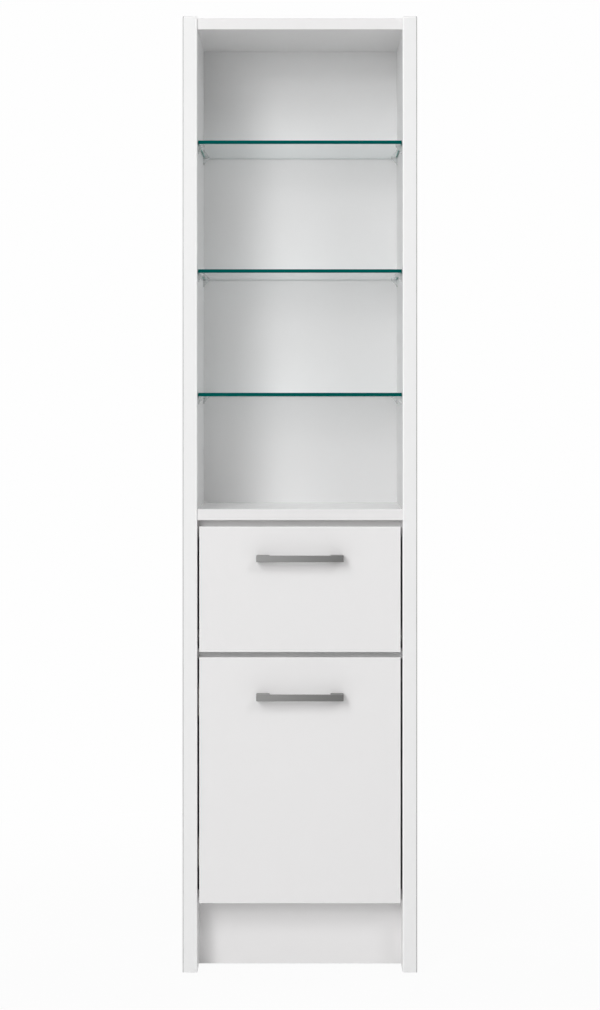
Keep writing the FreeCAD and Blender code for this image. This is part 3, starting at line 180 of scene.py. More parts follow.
class Recipe:
    """The node tree of one material, or of the world."""

    def __init__(self, name: str, world: bool = False) -> None:
        """Start an empty tree.

        Args:
            name: Name of the material or the world.
            world: Whether it is the world's tree.
        """
        self.owner = (bpy.data.worlds if world else bpy.data.materials).new(name)
        self.owner.use_nodes = True
        self.tree = self.owner.node_tree
        self.tree.nodes.clear()
        self.end = "ShaderNodeOutputWorld" if world else "ShaderNodeOutputMaterial"

    def node(self, kind: str, settings: dict[str, Any], inputs: dict[Any, Any]) -> bpy.types.Node:
        """Add a node.

        Args:
            kind: The node's type.
            settings: Its own settings, set first.
            inputs: Values or signals for its sockets, by name or number.

        Returns:
            The new node.
        """
        made = self.tree.nodes.new(kind)
        for name, value in settings.items():
            setattr(made, name, value)
        for name, value in inputs.items():
            socket = made.inputs[name]
            if isinstance(value, Signal):
                self.tree.links.new(value.socket, socket)
            elif socket.type == "RGBA":
                socket.default_value = (*value[:3], 1.0)
            else:
                socket.default_value = value
        return made

    def signal(self, kind: str, settings: dict[str, Any], inputs: dict[Any, Any],
               output: "str | int" = 0) -> Signal:
        """Add a node and return one of its outputs."""
        return Signal(self, self.node(kind, settings, inputs).outputs[output])

    @cached_property
    def coordinates(self) -> Signal:
        """The piece's own coordinates, in metres."""
        return self.signal("ShaderNodeTexCoord", {}, {}, "Object")

    @cached_property
    def normal(self) -> Signal:
        """The way that the surface faces, on the piece's own axes."""
        return self.signal("ShaderNodeTexCoord", {}, {}, "Normal")

    def part_of(self, vector: Signal, axis: Axis) -> Signal:
        """A vector's part along one axis."""
        return self.signal("ShaderNodeSeparateXYZ", {}, {"Vector": vector}, axis.name)

    def along(self, axis: Axis) -> Signal:
        """How far along an axis a point of the piece lies, in metres."""
        return self.part_of(self.coordinates, axis)

    def facing(self, axis: Axis) -> Signal:
        """How far the surface faces along an axis, from -1 to 1."""
        return self.part_of(self.normal, axis)

    def stretched(self, x: float, y: float, z: float) -> Signal:
        """The piece's own coordinates, scaled on each axis."""
        return self.signal("ShaderNodeMapping", {}, {"Vector": self.coordinates, "Scale": (x, y, z)})

    def rounded_edges(self, flat: float) -> Signal:
        """Find the rounded edges of a board.

        Args:
            flat: Share of the normal along one axis from which the surface counts as flat.

        Returns:
            One along the rounded edges, zero on the flat faces.
        """
        size = self.signal("ShaderNodeVectorMath", {"operation": "ABSOLUTE"}, {0: self.normal})
        x, y, z = (self.part_of(size, axis) for axis in Axis)
        return 1.0 - (x.larger(y).larger(z) > flat)

    def outward(self, least: float = 0.02) -> Signal:
        """One where the surface faces left or right, away from the cabinet's middle."""
        return self.facing(Axis.X) * self.along(Axis.X) > least

    def slant(self) -> Signal:
        """Zero where the surface is seen square on, one where it is seen edge on."""
        return self.signal("ShaderNodeLayerWeight", {}, {"Blend": 0.5}, "Facing")

    def noise(self, scale: float, detail: float = 2.0, where: "Signal | None" = None,
              roughness: float = 0.5) -> Signal:
        """Make soft noise.

        Args:
            scale: Number of swells per metre.
            detail: How many finer layers it has.
            where: The coordinates that it reads, or None for the piece's own.
            roughness: How strong the finer layers are.

        Returns:
            A value between 0 and 1.
        """
        return self.signal("ShaderNodeTexNoise", {}, {
            "Vector": where or self.coordinates, "Scale": scale, "Detail": detail,
            "Roughness": roughness})

    def between(self, low: float, high: float, mask: Signal) -> Signal:
        """A number that follows a 0 to 1 mask from low to high."""
        return mask * (high - low) + low

    def blend(self, first: Any, second: Any, mask: Any) -> Signal:
        """Mix two colours by a mask."""
        inputs = {MIX_FACTOR: mask, MIX_FIRST: first, MIX_SECOND: second}
        return self.signal("ShaderNodeMix", {"data_type": "RGBA"}, inputs, MIX_RESULT)

    def bump(self, height: Signal, depth: float, strength: float = 1.0) -> Signal:
        """A relief of the given depth in metres."""
        return self.signal("ShaderNodeBump", {}, {
            "Height": height, "Distance": depth, "Strength": strength})

    def principled(self, inputs: dict[str, Any]) -> Signal:
        """A Principled shader with the given inputs."""
        return self.signal("ShaderNodeBsdfPrincipled", {}, inputs)

    def close(self, shader: Signal) -> "bpy.types.Material | bpy.types.World":
        """Join the shader to the output and return the finished material or world."""
        self.node(self.end, {}, {"Surface": shader})
        return self.owner

    def surface(self, inputs: dict[str, Any]) -> bpy.types.Material:
        """The finished material of one Principled shader."""
        return self.close(self.principled(inputs))

    def seen_directly(self) -> Signal:
        """Tell direct sight from the light that falls on other things.

        Returns:
            One where the camera, a reflection or a look through glass meets the surface.
        """
        path = self.node("ShaderNodeLightPath", {}, {})
        camera, glossy, through = (Signal(self, path.outputs[name]) for name in
                                   ("Is Camera Ray", "Is Glossy Ray", "Is Transmission Ray"))
        return camera.larger(glossy).larger(through)


# ------------------------------------------------------------------ finishes
BOARD_CLOUDS = 3.2              # swells per metre in the tone of a board
BOARD_RUBS = 38.0               # rub marks per metre on a board
BOARD_PEEL = 1500.0             # swells per metre of the orange-peel skin
PEEL_DEPTH = 0.00002            # metres
# Painted highlight: pure white laid on the rounded edges of the boards, where the light catches them.
PAINTED_EDGE_HIGHLIGHT = (1.0, 1.0, 1.0)


@dataclass(frozen=True)
class WhiteBoard:
    """Satin white board: an even tone, a fine orange-peel skin and faint rub marks, with a painted
    highlight and painted shade on its rounded edges where asked for.

    Args:
        name: Name of the material.
        tone: Colour of the board.
        shade: Colour in the darker clouds of its tone.
        rim: Colour of a painted highlight along the rounded edges, if they have any.
        joint: Colour of painted shade on the rounded edges that face outwards, which they show in place
            of the highlight.
        rim_flat: Share of the normal from which a surface is flat, beside the painted highlight.
        painted_shade_flat: The same, beside the painted shade, which is narrower.
        smoothest: Roughness where nothing has rubbed it.
        roughest: Roughness in the rub marks.
        specular: Specular level.
    """

    name: str
    tone: Colour
    shade: Colour
    rim: "Colour | None" = None
    joint: "Colour | None" = None
    rim_flat: float = 0.995
    painted_shade_flat: float = 0.9
    smoothest: float = 0.33
    roughest: float = 0.45
    specular: float = 0.32

    def material(self) -> bpy.types.Material:
        """Build the material.

        Returns:
            The material.
        """
        recipe = Recipe(self.name)
        board = recipe.blend(self.tone, self.shade, recipe.noise(BOARD_CLOUDS, detail=3.0))
        # Painted highlight: the rounded edges take the rim colour, except those facing outwards where
        # painted shade is asked for.
        if self.rim:
            rounded = recipe.rounded_edges(self.rim_flat)
            highlighted_edges = rounded * (1.0 - recipe.outward()) if self.joint else rounded
            board = recipe.blend(board, self.rim, highlighted_edges)
        # Painted shade: the rounded edges that face outwards, turned away from the light, are darkened.
        if self.joint:
            shaded_edges = recipe.rounded_edges(self.painted_shade_flat) * recipe.outward()
            board = recipe.blend(board, self.joint, shaded_edges)
        rub = recipe.noise(BOARD_RUBS, detail=4.0, where=recipe.stretched(1.0, 1.0, 0.35))
        return recipe.surface({
            "Base Color": board,
            "Roughness": recipe.between(self.smoothest, self.roughest, rub),
            "Specular IOR Level": self.specular,
            "Normal": recipe.bump(recipe.noise(BOARD_PEEL), PEEL_DEPTH, strength=0.5),
        })


@dataclass(frozen=True)
class EdgedBoard:
    """White board with a smooth laminate on top and a satin edge tape in front; the top is painted
    lighter, standing for the light that falls on it from above.

    Args:
        name: Name of the material.
        face: Colour of the laminate, lighter than the tape as painted light from above.
        tape: Colour of the edge tape.
        cloud_share: Share of their light in the darker clouds.
        face_roughness: Roughness of the laminate.
        tape_roughness: Roughness of the tape.
        rub_share: What the rub marks add to it.
        specular: Specular level.
    """

    name: str
    face: Colour
    tape: Colour
    cloud_share: float = 0.98
    face_roughness: float = 0.16
    tape_roughness: float = 0.38
    rub_share: float = 0.08
    specular: float = 0.6

    def material(self) -> bpy.types.Material:
        """Build the material.

        Returns:
            The material.
        """
        recipe = Recipe(self.name)
        top = recipe.facing(Axis.Z) > 0.5
        cloud = recipe.noise(BOARD_CLOUDS, detail=3.0)
        tape = recipe.blend(self.tape, dimmed(self.tape, self.cloud_share), cloud)
        face = recipe.blend(self.face, dimmed(self.face, self.cloud_share), cloud)
        rub = recipe.noise(BOARD_RUBS, detail=4.0) * self.rub_share
        return recipe.surface({
            # Painted light: faces that look up take the lighter laminate colour.
            "Base Color": recipe.blend(tape, face, top),
            "Roughness": recipe.between(self.tape_roughness, self.face_roughness, top) + rub,
            "Specular IOR Level": self.specular,
            "Normal": recipe.bump(recipe.noise(BOARD_PEEL), PEEL_DEPTH, strength=0.2),
        })


@dataclass(frozen=True)
class Hardboard:
    """Thin hardboard: lacquered white on the face seen from the front, raw fibre behind.

    Args:
        name: Name of the material.
        face: Colour of the lacquer.
        fibre: Colour of the paler fibres.
        dark_fibre: Colour of the darker fibres.
        clouds: Swells per metre in the lacquer's tone.
        cloud_share: Share of its light in the darker clouds.
        flecks: Flecks of fibre per metre.
        face_roughness: Roughness of the lacquer.
        fibre_roughness: Roughness of the raw fibre.
        specular: Specular level.
        grain: Swells per metre of the relief.
        relief: Depth of the relief, in metres.
    """

    name: str
    face: Colour
    fibre: Colour
    dark_fibre: Colour
    clouds: float = 5.0
    cloud_share: float = 0.975
    flecks: float = 420.0
    face_roughness: float = 0.5
    fibre_roughness: float = 0.85
    specular: float = 0.35
    grain: float = 900.0
    relief: float = 0.00003

    def material(self) -> bpy.types.Material:
        """Build the material.

        Returns:
            The material.
        """
        recipe = Recipe(self.name)
        behind = recipe.facing(Axis.Y) > 0.5
        flat = recipe.stretched(1.0, 1.0, 0.4)
        flecks = recipe.noise(self.flecks, detail=5.0, where=flat, roughness=0.7)
        raw = recipe.blend(self.dark_fibre, self.fibre, flecks)
        cloud = recipe.noise(self.clouds)
        lacquer = recipe.blend(self.face, dimmed(self.face, self.cloud_share), cloud)
        return recipe.surface({
            "Base Color": recipe.blend(lacquer, raw, behind),
            "Roughness": recipe.between(self.face_roughness, self.fibre_roughness, behind),
            "Specular IOR Level": self.specular,
            "Normal": recipe.bump(recipe.noise(self.grain, detail=3.0), self.relief, strength=0.5),
        })


@dataclass(frozen=True)
class ClearGlass:
    """The clear faces of a glass shelf: light goes through, and a grazing look mirrors the bay.

    Args:
        name: Name of the material.
        tint: Colour of what the glass mirrors.
        film: Share of that light where a faint film lies on the glass.
        least: How much of it is there when the glass is seen square on.
        rise: The power with which it grows towards a grazing look.
        smears: Smears of the film per metre.
        smoothest: Roughness between the smears.
        roughest: Roughness in the smears.
    """

    name: str
    tint: Colour = (0.76, 0.838, 0.838)
    film: float = 0.985
    least: float = 0.08
    rise: float = 3.0
    smears: float = 14.0
    smoothest: float = 0.01
    roughest: float = 0.03

    def material(self) -> bpy.types.Material:
        """Build the material.

        Returns:
            The material.
        """
        recipe = Recipe(self.name)
        film = recipe.noise(self.smears, detail=3.0)
        outside = 1.0 - recipe.signal("ShaderNodeNewGeometry", {}, {}, "Backfacing")
        return recipe.surface({
            "Base Color": recipe.blend(self.tint, dimmed(self.tint, self.film), film),
            "Metallic": 1.0,
            "Roughness": recipe.between(self.smoothest, self.roughest, film),
            "Alpha": recipe.between(self.least, 1.0, recipe.slant() ** self.rise) * outside,
        })


@dataclass(frozen=True)
class GreenEdge:
    """The polished edge of a glass shelf, where the light has crossed the whole pane.

    Args:
        name: Name of the material.
        deep: Colour of its deeper bands.
        lit: Colour of its lighter bands.
        bands: Bands per metre.
        marks: Polishing marks per metre.
        smoothest: Roughness between the marks.
        roughest: Roughness in the marks.
    """

    name: str
    deep: Colour
    lit: Colour
    bands: float = 9.0
    marks: float = 260.0
    smoothest: float = 0.08
    roughest: float = 0.16

    def material(self) -> bpy.types.Material:
        """Build the material.

        Returns:
            The material.
        """
        recipe = Recipe(self.name)
        depth = recipe.noise(self.bands, where=recipe.stretched(1.0, 1.0, 0.2))
        return recipe.surface({
            "Base Color": recipe.blend(self.deep, self.lit, depth),
            "Roughness": recipe.between(self.smoothest, self.roughest, recipe.noise(self.marks)),
            "Specular IOR Level": 0.0,
        })


@dataclass(frozen=True)
class ClearMoulding:
    """Clear moulded plastic, a little milky in its thick parts, with painted shade along its outline.

    Args:
        name: Name of the material.
        tint: Colour of its body.
        outline: Colour of the painted shade where it is seen edge on.
        haze: Colour of the milky swirls in it.
        body_alpha: How solid it looks square on.
        outline_alpha: How solid it looks edge on.
        rise: The power with which the outline grows towards the edge.
        swirls: Swirls per metre.
        smoothest: Roughness between the swirls.
        roughest: Roughness in the swirls.
        relief: Depth of the swirls, in metres.
    """

    name: str
    tint: Colour
    outline: Colour
    haze: Colour = (0.97, 0.98, 0.98)
    body_alpha: float = 0.42
    outline_alpha: float = 0.9
    rise: float = 1.6
    swirls: float = 700.0
    smoothest: float = 0.06
    roughest: float = 0.22
    relief: float = 0.00001

    def material(self) -> bpy.types.Material:
        """Build the material.

        Returns:
            The material.
        """
        recipe = Recipe(self.name)
        swirls = recipe.noise(self.swirls, detail=3.0)
        # Painted shade: the colour darkens towards the outline, where the moulding is seen edge on.
        rim = recipe.slant() ** self.rise
        return recipe.surface({
            "Base Color": recipe.blend(recipe.blend(self.tint, self.haze, swirls), self.outline, rim),
            "Roughness": recipe.between(self.smoothest, self.roughest, swirls),
            "Alpha": recipe.between(self.body_alpha, self.outline_alpha, rim),
            "Normal": recipe.bump(swirls, self.relief, strength=0.4),
        })


@dataclass(frozen=True)
class BrushedMetal:
    """Metal brushed along its length, with fine even lines and a painted reflection that falls off to
    the right.

    Args:
        name: Name of the material.
        bright: Colour of the brighter lines.
        dark: Colour of the darker lines.
        half_length: Half the length of the piece, in metres.
        painted_reflection_fall: Share of the tone that is left at the right end, where the painted
            reflection is weakest.
        metallic: How metallic it is.
        lines: Brushed lines per metre.
        stretch: How much slower the lines change along the piece.
        fine_share: How much of the tone comes from the fine lines, beside broad ones.
        broader: How many times broader the broad lines are.
        smoothest: Roughness of the darker fine lines.
        roughest: Roughness of the brighter fine lines.
        relief: Depth of the fine lines, in metres.
    """

    name: str
    bright: Colour
    dark: Colour
    half_length: float
    painted_reflection_fall: float = 0.55
    metallic: float = 0.55
    lines: float = 2600.0
    stretch: float = 0.012
    fine_share: float = 0.6
    broader: float = 7.0
    smoothest: float = 0.3
    roughest: float = 0.46
    relief: float = 0.00002

    def material(self) -> bpy.types.Material:
        """Build the material.

        Returns:
            The material.
        """
        recipe = Recipe(self.name)
        brushed = recipe.stretched(self.stretch, 1.0, 1.0)
        fine = recipe.noise(self.lines, detail=3.0, where=brushed, roughness=0.65)
        broad = recipe.noise(self.lines / self.broader, where=brushed)
        # Painted reflection: the colour is scaled down from full at the left end of the bar to the fall
        # share at the right end.
        place = recipe.signal("ShaderNodeMapRange", {}, {
            "Value": recipe.along(Axis.X), "From Min": -self.half_length, "From Max": self.half_length})
        lines = fine * self.fine_share + broad * (1.0 - self.fine_share)
        with_painted_reflection = recipe.signal("ShaderNodeVectorMath", {"operation": "SCALE"}, {
            0: recipe.blend(self.dark, self.bright, lines),
            "Scale": recipe.between(1.0, self.painted_reflection_fall, place)})
        return recipe.surface({
            "Base Color": with_painted_reflection,
            "Metallic": self.metallic,
            "Roughness": recipe.between(self.smoothest, self.roughest, fine),
            "Normal": recipe.bump(fine, self.relief, strength=0.35),
        })


@dataclass(frozen=True)
class PlatedSteel:
    """Plated or cast metal with a mottled shine.

    Args:
        name: Name of the material.
        bright: Colour of its bright spots.
        dark: Colour of its dark spots.
        roughness: Roughness between its spots.
        grain: Spots per metre.
        relief: Depth of its fine grain, in metres.
        smoother: How much smoother the dark spots are.
        rougher: How much rougher the bright spots are.
        finer: How many times finer the grain is than the spots.
    """

    name: str
    bright: Colour
    dark: Colour
    roughness: float
    grain: float = 260.0
    relief: float = 0.00001
    smoother: float = 0.07
    rougher: float = 0.09
    finer: float = 8.0

    def material(self) -> bpy.types.Material:
        """Build the material.

        Returns:
            The material.
        """
        recipe = Recipe(self.name)
        spots = recipe.noise(self.grain, detail=4.0, roughness=0.6)
        low, high = self.roughness - self.smoother, self.roughness + self.rougher
        return recipe.surface({
            "Base Color": recipe.blend(self.dark, self.bright, spots),
            "Metallic": 1.0,
            "Roughness": recipe.between(low, high, spots),
            "Normal": recipe.bump(recipe.noise(self.grain * self.finer), self.relief, strength=0.4),
        })


@dataclass(frozen=True)
class SatinCoat:
    """A moulded plastic or a powder coat: one tone with a fine grain.

    Args:
        name: Name of the material.
        tone: Its colour.
        shade: Colour in the darker clouds of its tone.
        roughness: Its roughness.
        clouds: Clouds per metre.
        grain: Grains per metre.
        relief: Depth of the grain, in metres.
        smoother: How much smoother it is between the grains.
        rougher: How much rougher it is on the grains.
        specular: Its specular level.
    """

    name: str
    tone: Colour
    shade: Colour
    roughness: float
    clouds: float = 24.0
    grain: float = 1300.0
    relief: float = 0.00002
    smoother: float = 0.04
    rougher: float = 0.08
    specular: float = 0.45

    def material(self) -> bpy.types.Material:
        """Build the material.

        Returns:
            The material.
        """
        recipe = Recipe(self.name)
        grain = recipe.noise(self.grain)
        low, high = self.roughness - self.smoother, self.roughness + self.rougher
        return recipe.surface({
            "Base Color": recipe.blend(self.tone, self.shade, recipe.noise(self.clouds, detail=3.0)),
            "Roughness": recipe.between(low, high, grain),
            "Specular IOR Level": self.specular,
            "Normal": recipe.bump(grain, self.relief, strength=0.5),
        })


@dataclass(frozen=True)
class RawBeech:
    """Raw beech with its grain along X.

    Args:
        name: Name of the material.
        pale: Colour of the paler fibres.
        dark: Colour of the darker fibres.
        fibres: Fibres per metre.
        stretch: How much slower they change along the grain.
        smoothest: Roughness of the paler fibres.
        roughest: Roughness of the darker fibres.
        relief: Depth of the fibres, in metres.
    """

    name: str
    pale: Colour
    dark: Colour
    fibres: float = 900.0
    stretch: float = 0.06
    smoothest: float = 0.6
    roughest: float = 0.8
    relief: float = 0.00004

    def material(self) -> bpy.types.Material:
        """Build the material.

        Returns:
            The material.
        """
        recipe = Recipe(self.name)
        drawn_out = recipe.stretched(self.stretch, 1.0, 1.0)
        grain = recipe.noise(self.fibres, detail=4.0, where=drawn_out, roughness=0.6)
        return recipe.surface({
            "Base Color": recipe.blend(self.pale, self.dark, grain),
            "Roughness": recipe.between(self.smoothest, self.roughest, grain),
            "Normal": recipe.bump(grain, self.relief, strength=0.6),
        })


BOARD_TONE = linear(238, 237, 237)
BOARD_SHADE = linear(236, 235, 235)
SLOT_FINISHES = {
    "white_board": WhiteBoard("satin_white_board", BOARD_TONE, BOARD_SHADE),
    "back_board": Hardboard("white_hardboard", grey(233), linear(158, 124, 90), linear(118, 88, 60)),
    "shelf_glass": ClearGlass("clear_glass"),
    "clear_plastic": ClearMoulding("clear_moulding", (0.92, 0.94, 0.94), linear(96, 104, 104)),
    "handle_metal": BrushedMetal("brushed_metal", linear(143, 143, 142), linear(119, 119, 118), 0.074),
    "zinc_steel": PlatedSteel("zinc_plated_steel", linear(205, 206, 204), linear(168, 170, 168), 0.32),
    "nickel_steel": PlatedSteel("nickel_plated_steel", linear(214, 211, 205), linear(186, 183, 177),
                                0.2, 120.0),
    "runner_steel": SatinCoat("white_powder_coat", linear(236, 236, 234), linear(231, 231, 229), 0.36),
    "roller_nylon": SatinCoat("white_nylon", linear(235, 233, 225), linear(229, 226, 216), 0.42),
    "cam_zinc": PlatedSteel("cast_zinc", linear(190, 191, 190), linear(140, 141, 140), 0.42,
                            700.0, 0.00005),
    "dowel_beech": RawBeech("raw_beech", linear(220, 190, 150), linear(184, 144, 100)),
    "glide_plastic": SatinCoat("grey_glide_plastic", grey(92), grey(80), 0.5),
    "catch_plastic": SatinCoat("white_catch_plastic", linear(238, 238, 236), linear(232, 232, 230),
                               0.48),
}
PANE_FRONT = GreenEdge("green_glass_edge", linear(0, 80, 76), linear(0, 88, 84))
# The ends' pale green also lies on a strip of the underside by each end: a painted view of the end edge
# through the glass.
PANE_ENDS = GreenEdge("green_glass_side", linear(166, 204, 197), linear(176, 212, 206))
# Side panels: a painted highlight on the inner rounded edges and painted shade on the outer ones.
SIDE_BOARD = WhiteBoard("bright_white_board_painted_edges", grey(242), grey(240), PAINTED_EDGE_HIGHLIGHT, grey(158))
# Fronts: a painted highlight on all their rounded edges.
FRONT_BOARD = WhiteBoard("white_board_painted_edge_highlight", BOARD_TONE, BOARD_SHADE, PAINTED_EDGE_HIGHLIGHT)
# Painted light: the divider is whiter than the other boards, so that its front edge in the shaded gap
# between drawer and door looks lit.
DIVIDER_BOARD = WhiteBoard("divider_white_board_painted_light", grey(253), grey(251))
# The fixed shelf: its top face is painted lighter, for the light from above.
SHELF_BOARD = EdgedBoard("edged_white_board_painted_top_light", grey(253), linear(234, 233, 233))


class Finishes:
    """The materials: one for each slot, three for a glass pane, and some boards' own."""

    def __init__(self) -> None:
        """Build every material once."""
        self.by_slot = {slot: finish.material() for slot, finish in SLOT_FINISHES.items()}
        self.pane = {
            PaneSide.CLEAR: self.by_slot["shelf_glass"],
            PaneSide.FRONT: PANE_FRONT.material(),
            PaneSide.END: PANE_ENDS.material(),
        }
        side = SIDE_BOARD.material()
        front = FRONT_BOARD.material()
        self.by_node = {
            "side_panel_left": side,
            "side_panel_right": side,
            "drawer_front": front,
            "door_panel": front,
            "divider_panel": DIVIDER_BOARD.material(),
            "fixed_shelf": SHELF_BOARD.material(),
        }

    def dress_nodes(self) -> None:
        """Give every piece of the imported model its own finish, or else that of its slot."""
        for subpart in frame["record"]["subparts"]:
            node = frame["nodes"][subpart["node"]]
            material = self.by_node.get(subpart["node"], self.by_slot[subpart["material_slot"]])
            for slot in node.material_slots:
                slot.material = material
            if not node.material_slots:
                node.data.materials.append(material)


# ------------------------------------------------------------------ modelling helpers
def clear_selection() -> None:
    """Deselect every object."""
    bpy.ops.object.select_all(action="DESELECT")


def pick(piece: bpy.types.Object) -> None:
    """Make one object the only selected and the active one.

    Args:
        piece: The object.
    """
    clear_selection()
    piece.select_set(True)
    bpy.context.view_layer.objects.active = piece


def edit(piece: bpy.types.Object) -> None:
    """Open an object in edit mode."""
    pick(piece)
    bpy.ops.object.mode_set(mode="EDIT")


def leave() -> None:
    """Go back to object mode."""
    bpy.ops.object.mode_set(mode="OBJECT")


def choose(piece: bpy.types.Object, test: Callable[[Any], bool],
           element: Element = Element.FACE) -> None:
    """Select the faces, edges or vertices that pass a test, in edit mode.

    Args:
        piece: The object in edit mode.
        test: Called with a face or a vertex, or with the places of an edge's two ends.
        element: Which of them are picked.
    """
    bpy.ops.mesh.select_mode(type=element.value)
    bpy.ops.mesh.select_all(action="DESELECT")
    leave()
    mesh = piece.data
    if element is Element.FACE:
        for face in mesh.polygons:
            face.select = test(face)
    elif element is Element.EDGE:
        for edge in mesh.edges:
            edge.select = test([mesh.vertices[v].co for v in edge.vertices])
    else:
        for vertex in mesh.vertices:
            vertex.select = test(vertex)
    bpy.ops.object.mode_set(mode="EDIT")


def slice_open(axis: Axis, places: Sequence[float]) -> None:
    """Cut new edges round the mesh in edit mode, square to an axis.

    Args:
        axis: The axis that the cuts are square to.
        places: Where along it they lie, in metres.
    """
    for place in places:
        point, normal = Vector(), Vector()
        point[axis.value], normal[axis.value] = place, 1.0
        bpy.ops.mesh.select_all(action="SELECT")
        bpy.ops.mesh.bisect(plane_co=point, plane_no=normal)


def extrude(step: Sequence[float]) -> None:
    """Extrude the selected faces by a step in metres."""
    bpy.ops.mesh.extrude_region_move(TRANSFORM_OT_translate={"value": tuple(step)})


def box_start(low: Sequence[float], high: Sequence[float], turn: float = 0.0) -> bpy.types.Object:
    """Add a cube primitive at its size and place.

    Args:
        low: Its lowest corner.
        high: Its highest corner.
        turn: How far it is then turned on the spot, seen from above, in radians.

    Returns:
        The new object, with its place in its mesh.
    """
    clear_selection()
    middle = [(a + b) / 2 for a, b in zip(low, high)]
    bpy.ops.mesh.primitive_cube_add(size=1.0, location=middle, rotation=(0, 0, turn))
    made = bpy.context.active_object
    made.scale = [b - a for a, b in zip(low, high)]
    bpy.ops.object.transform_apply(location=True, rotation=True, scale=True)
    return made


def rod_start(sides: int, radius: float, length: float, middle: Sequence[float],
              turn: Sequence[float] = (0.0, 0.0, 0.0)) -> bpy.types.Object:
    """Add a cylinder primitive at its size and place.

    Args:
        sides: How many sides it has.
        radius: Its radius.
        length: Its length.
        middle: Its middle.
        turn: Its turn from upright, in radians.

    Returns:
        The new object, with its place in its mesh.
    """
    clear_selection()
    bpy.ops.mesh.primitive_cylinder_add(vertices=sides, radius=radius, depth=length,
                                        location=middle, rotation=turn)
    bpy.ops.object.transform_apply(location=True, rotation=True, scale=True)
    return bpy.context.active_object


def apply_modifier(piece: bpy.types.Object, kind: str, settings: dict[str, Any]) -> None:
    """Add a modifier and apply it.

    Args:
        piece: The object that it works on.
        kind: The modifier's type.
        settings: Its settings.
    """
    pick(piece)
    modifier = piece.modifiers.new(kind.title(), kind)
    for name, value in settings.items():
        setattr(modifier, name, value)
    bpy.ops.object.modifier_apply(modifier=modifier.name)


def smooth(piece: bpy.types.Object, angle: float = 32.0) -> None:
    """Shade a piece smooth, apart from its sharp edges, and keep its flat faces flat.

    Args:
        piece: The object.
        angle: The turn, in degrees, from which an edge stays sharp.
    """
    pick(piece)
    bpy.ops.object.shade_smooth_by_angle(angle=math.radians(angle))
    apply_modifier(piece, "WEIGHTED_NORMAL", {"keep_sharp": True})


def soften(piece: bpy.types.Object, width: float, segments: int, angle: float) -> None:
    """Round the sharp edges of a piece and smooth its faces.

    Args:
        piece: The object.
        width: Width of the rounding.
        segments: How many faces go round it.
        angle: The turn, in degrees, from which an edge is rounded.
    """
    apply_modifier(piece, "BEVEL", {"width": width, "segments": segments, "limit_method": "ANGLE",
                                    "angle_limit": math.radians(angle), "harden_normals": False})
    smooth(piece)


def combine(piece: bpy.types.Object, other: bpy.types.Object, operation: str) -> None:
    """Join a shape to another as one closed surface, or cut it out, and delete it.

    Args:
        piece: The shape that stays.
        other: The shape that is joined to it or cut out of it.
        operation: "UNION" or "DIFFERENCE".
    """
    apply_modifier(piece, "BOOLEAN", {"object": other, "operation": operation, "solver": "EXACT"})
    bpy.data.objects.remove(other)


def join_all(parts: Sequence[bpy.types.Object], name: str) -> bpy.types.Object:
    """Join several objects into one.

    Args:
        parts: The objects.
        name: Name of the one that they become.

    Returns:
        That object.
    """
    pick(parts[0])
    for part in parts[1:]:
        part.select_set(True)
    if len(parts) > 1:
        bpy.ops.object.join()
    joined = bpy.context.active_object
    joined.name = joined.data.name = name
    return joined


def copy_to(source: bpy.types.Object, matrix: Matrix) -> bpy.types.Object:
    """Copy a finished shape, with a mesh of its own.

    Args:
        source: The shape.
        matrix: Where its mesh goes; a mirrored one keeps its faces outwards.

    Returns:
        The copy.
    """
    copied = source.copy()
    copied.data = source.data.copy()
    copied.data.transform(matrix)
    if matrix.determinant() < 0:
        copied.data.flip_normals()
    bpy.context.scene.collection.objects.link(copied)
    return copied


def turn_outwards(piece: bpy.types.Object) -> None:
    """Merge a mesh's doubles and turn every face outwards.

    Args:
        piece: The object.
    """
    edit(piece)
    bpy.ops.mesh.select_all(action="SELECT")
    bpy.ops.mesh.remove_doubles(threshold=SAME_POINT)
    bpy.ops.mesh.normals_make_consistent(inside=False)
    leave()


def solids_of(node: str) -> list[Span]:
    """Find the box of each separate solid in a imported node, whose mesh is loose triangles.

    Args:
        node: The node's name.

    Returns:
        Lowest and highest corner of each solid, in a fixed order.
    """
    mesh = frame["nodes"][node].data
    keys = [tuple(round(c / SAME_POINT) for c in vertex.co) for vertex in mesh.vertices]
    parent: dict[tuple, tuple] = {key: key for key in keys}

    def root(key: tuple) -> tuple:
        """Follow a corner to the one that stands for its solid.

        Args:
            key: The corner.

        Returns:
            The corner that stands for the solid.
        """
        while parent[key] != key:
            parent[key] = parent[parent[key]]
            key = parent[key]
        return key

    for face in mesh.polygons:
        corners = [root(keys[v]) for v in face.vertices]
        for corner in corners[1:]:
            parent[root(corner)] = root(corners[0])
    groups: dict[tuple, list[Vector]] = {}
    for vertex, key in zip(mesh.vertices, keys):
        groups.setdefault(root(key), []).append(vertex.co)
    spans = [(Vector(min(p[i] for p in points) for i in range(3)),
              Vector(max(p[i] for p in points) for i in range(3))) for points in groups.values()]
    return sorted(spans, key=lambda span: tuple(round(c, 4) for c in span[0]))


def dress(piece: bpy.types.Object, materials: Iterable[bpy.types.Material]) -> None:
    """Give a new piece its materials, in the order of its slots."""
    for material in materials:
        piece.data.materials.append(material)


def settle(piece: bpy.types.Object, body: str, node: str) -> None:
    """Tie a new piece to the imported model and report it.

    Args:
        piece: The piece.
        body: The body that it rides on.
        node: The node that it stands for.
    """
    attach(piece, body)
    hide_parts(node)
    log.info("%s: %d faces for %s", piece.name, len(piece.data.polygons), node)


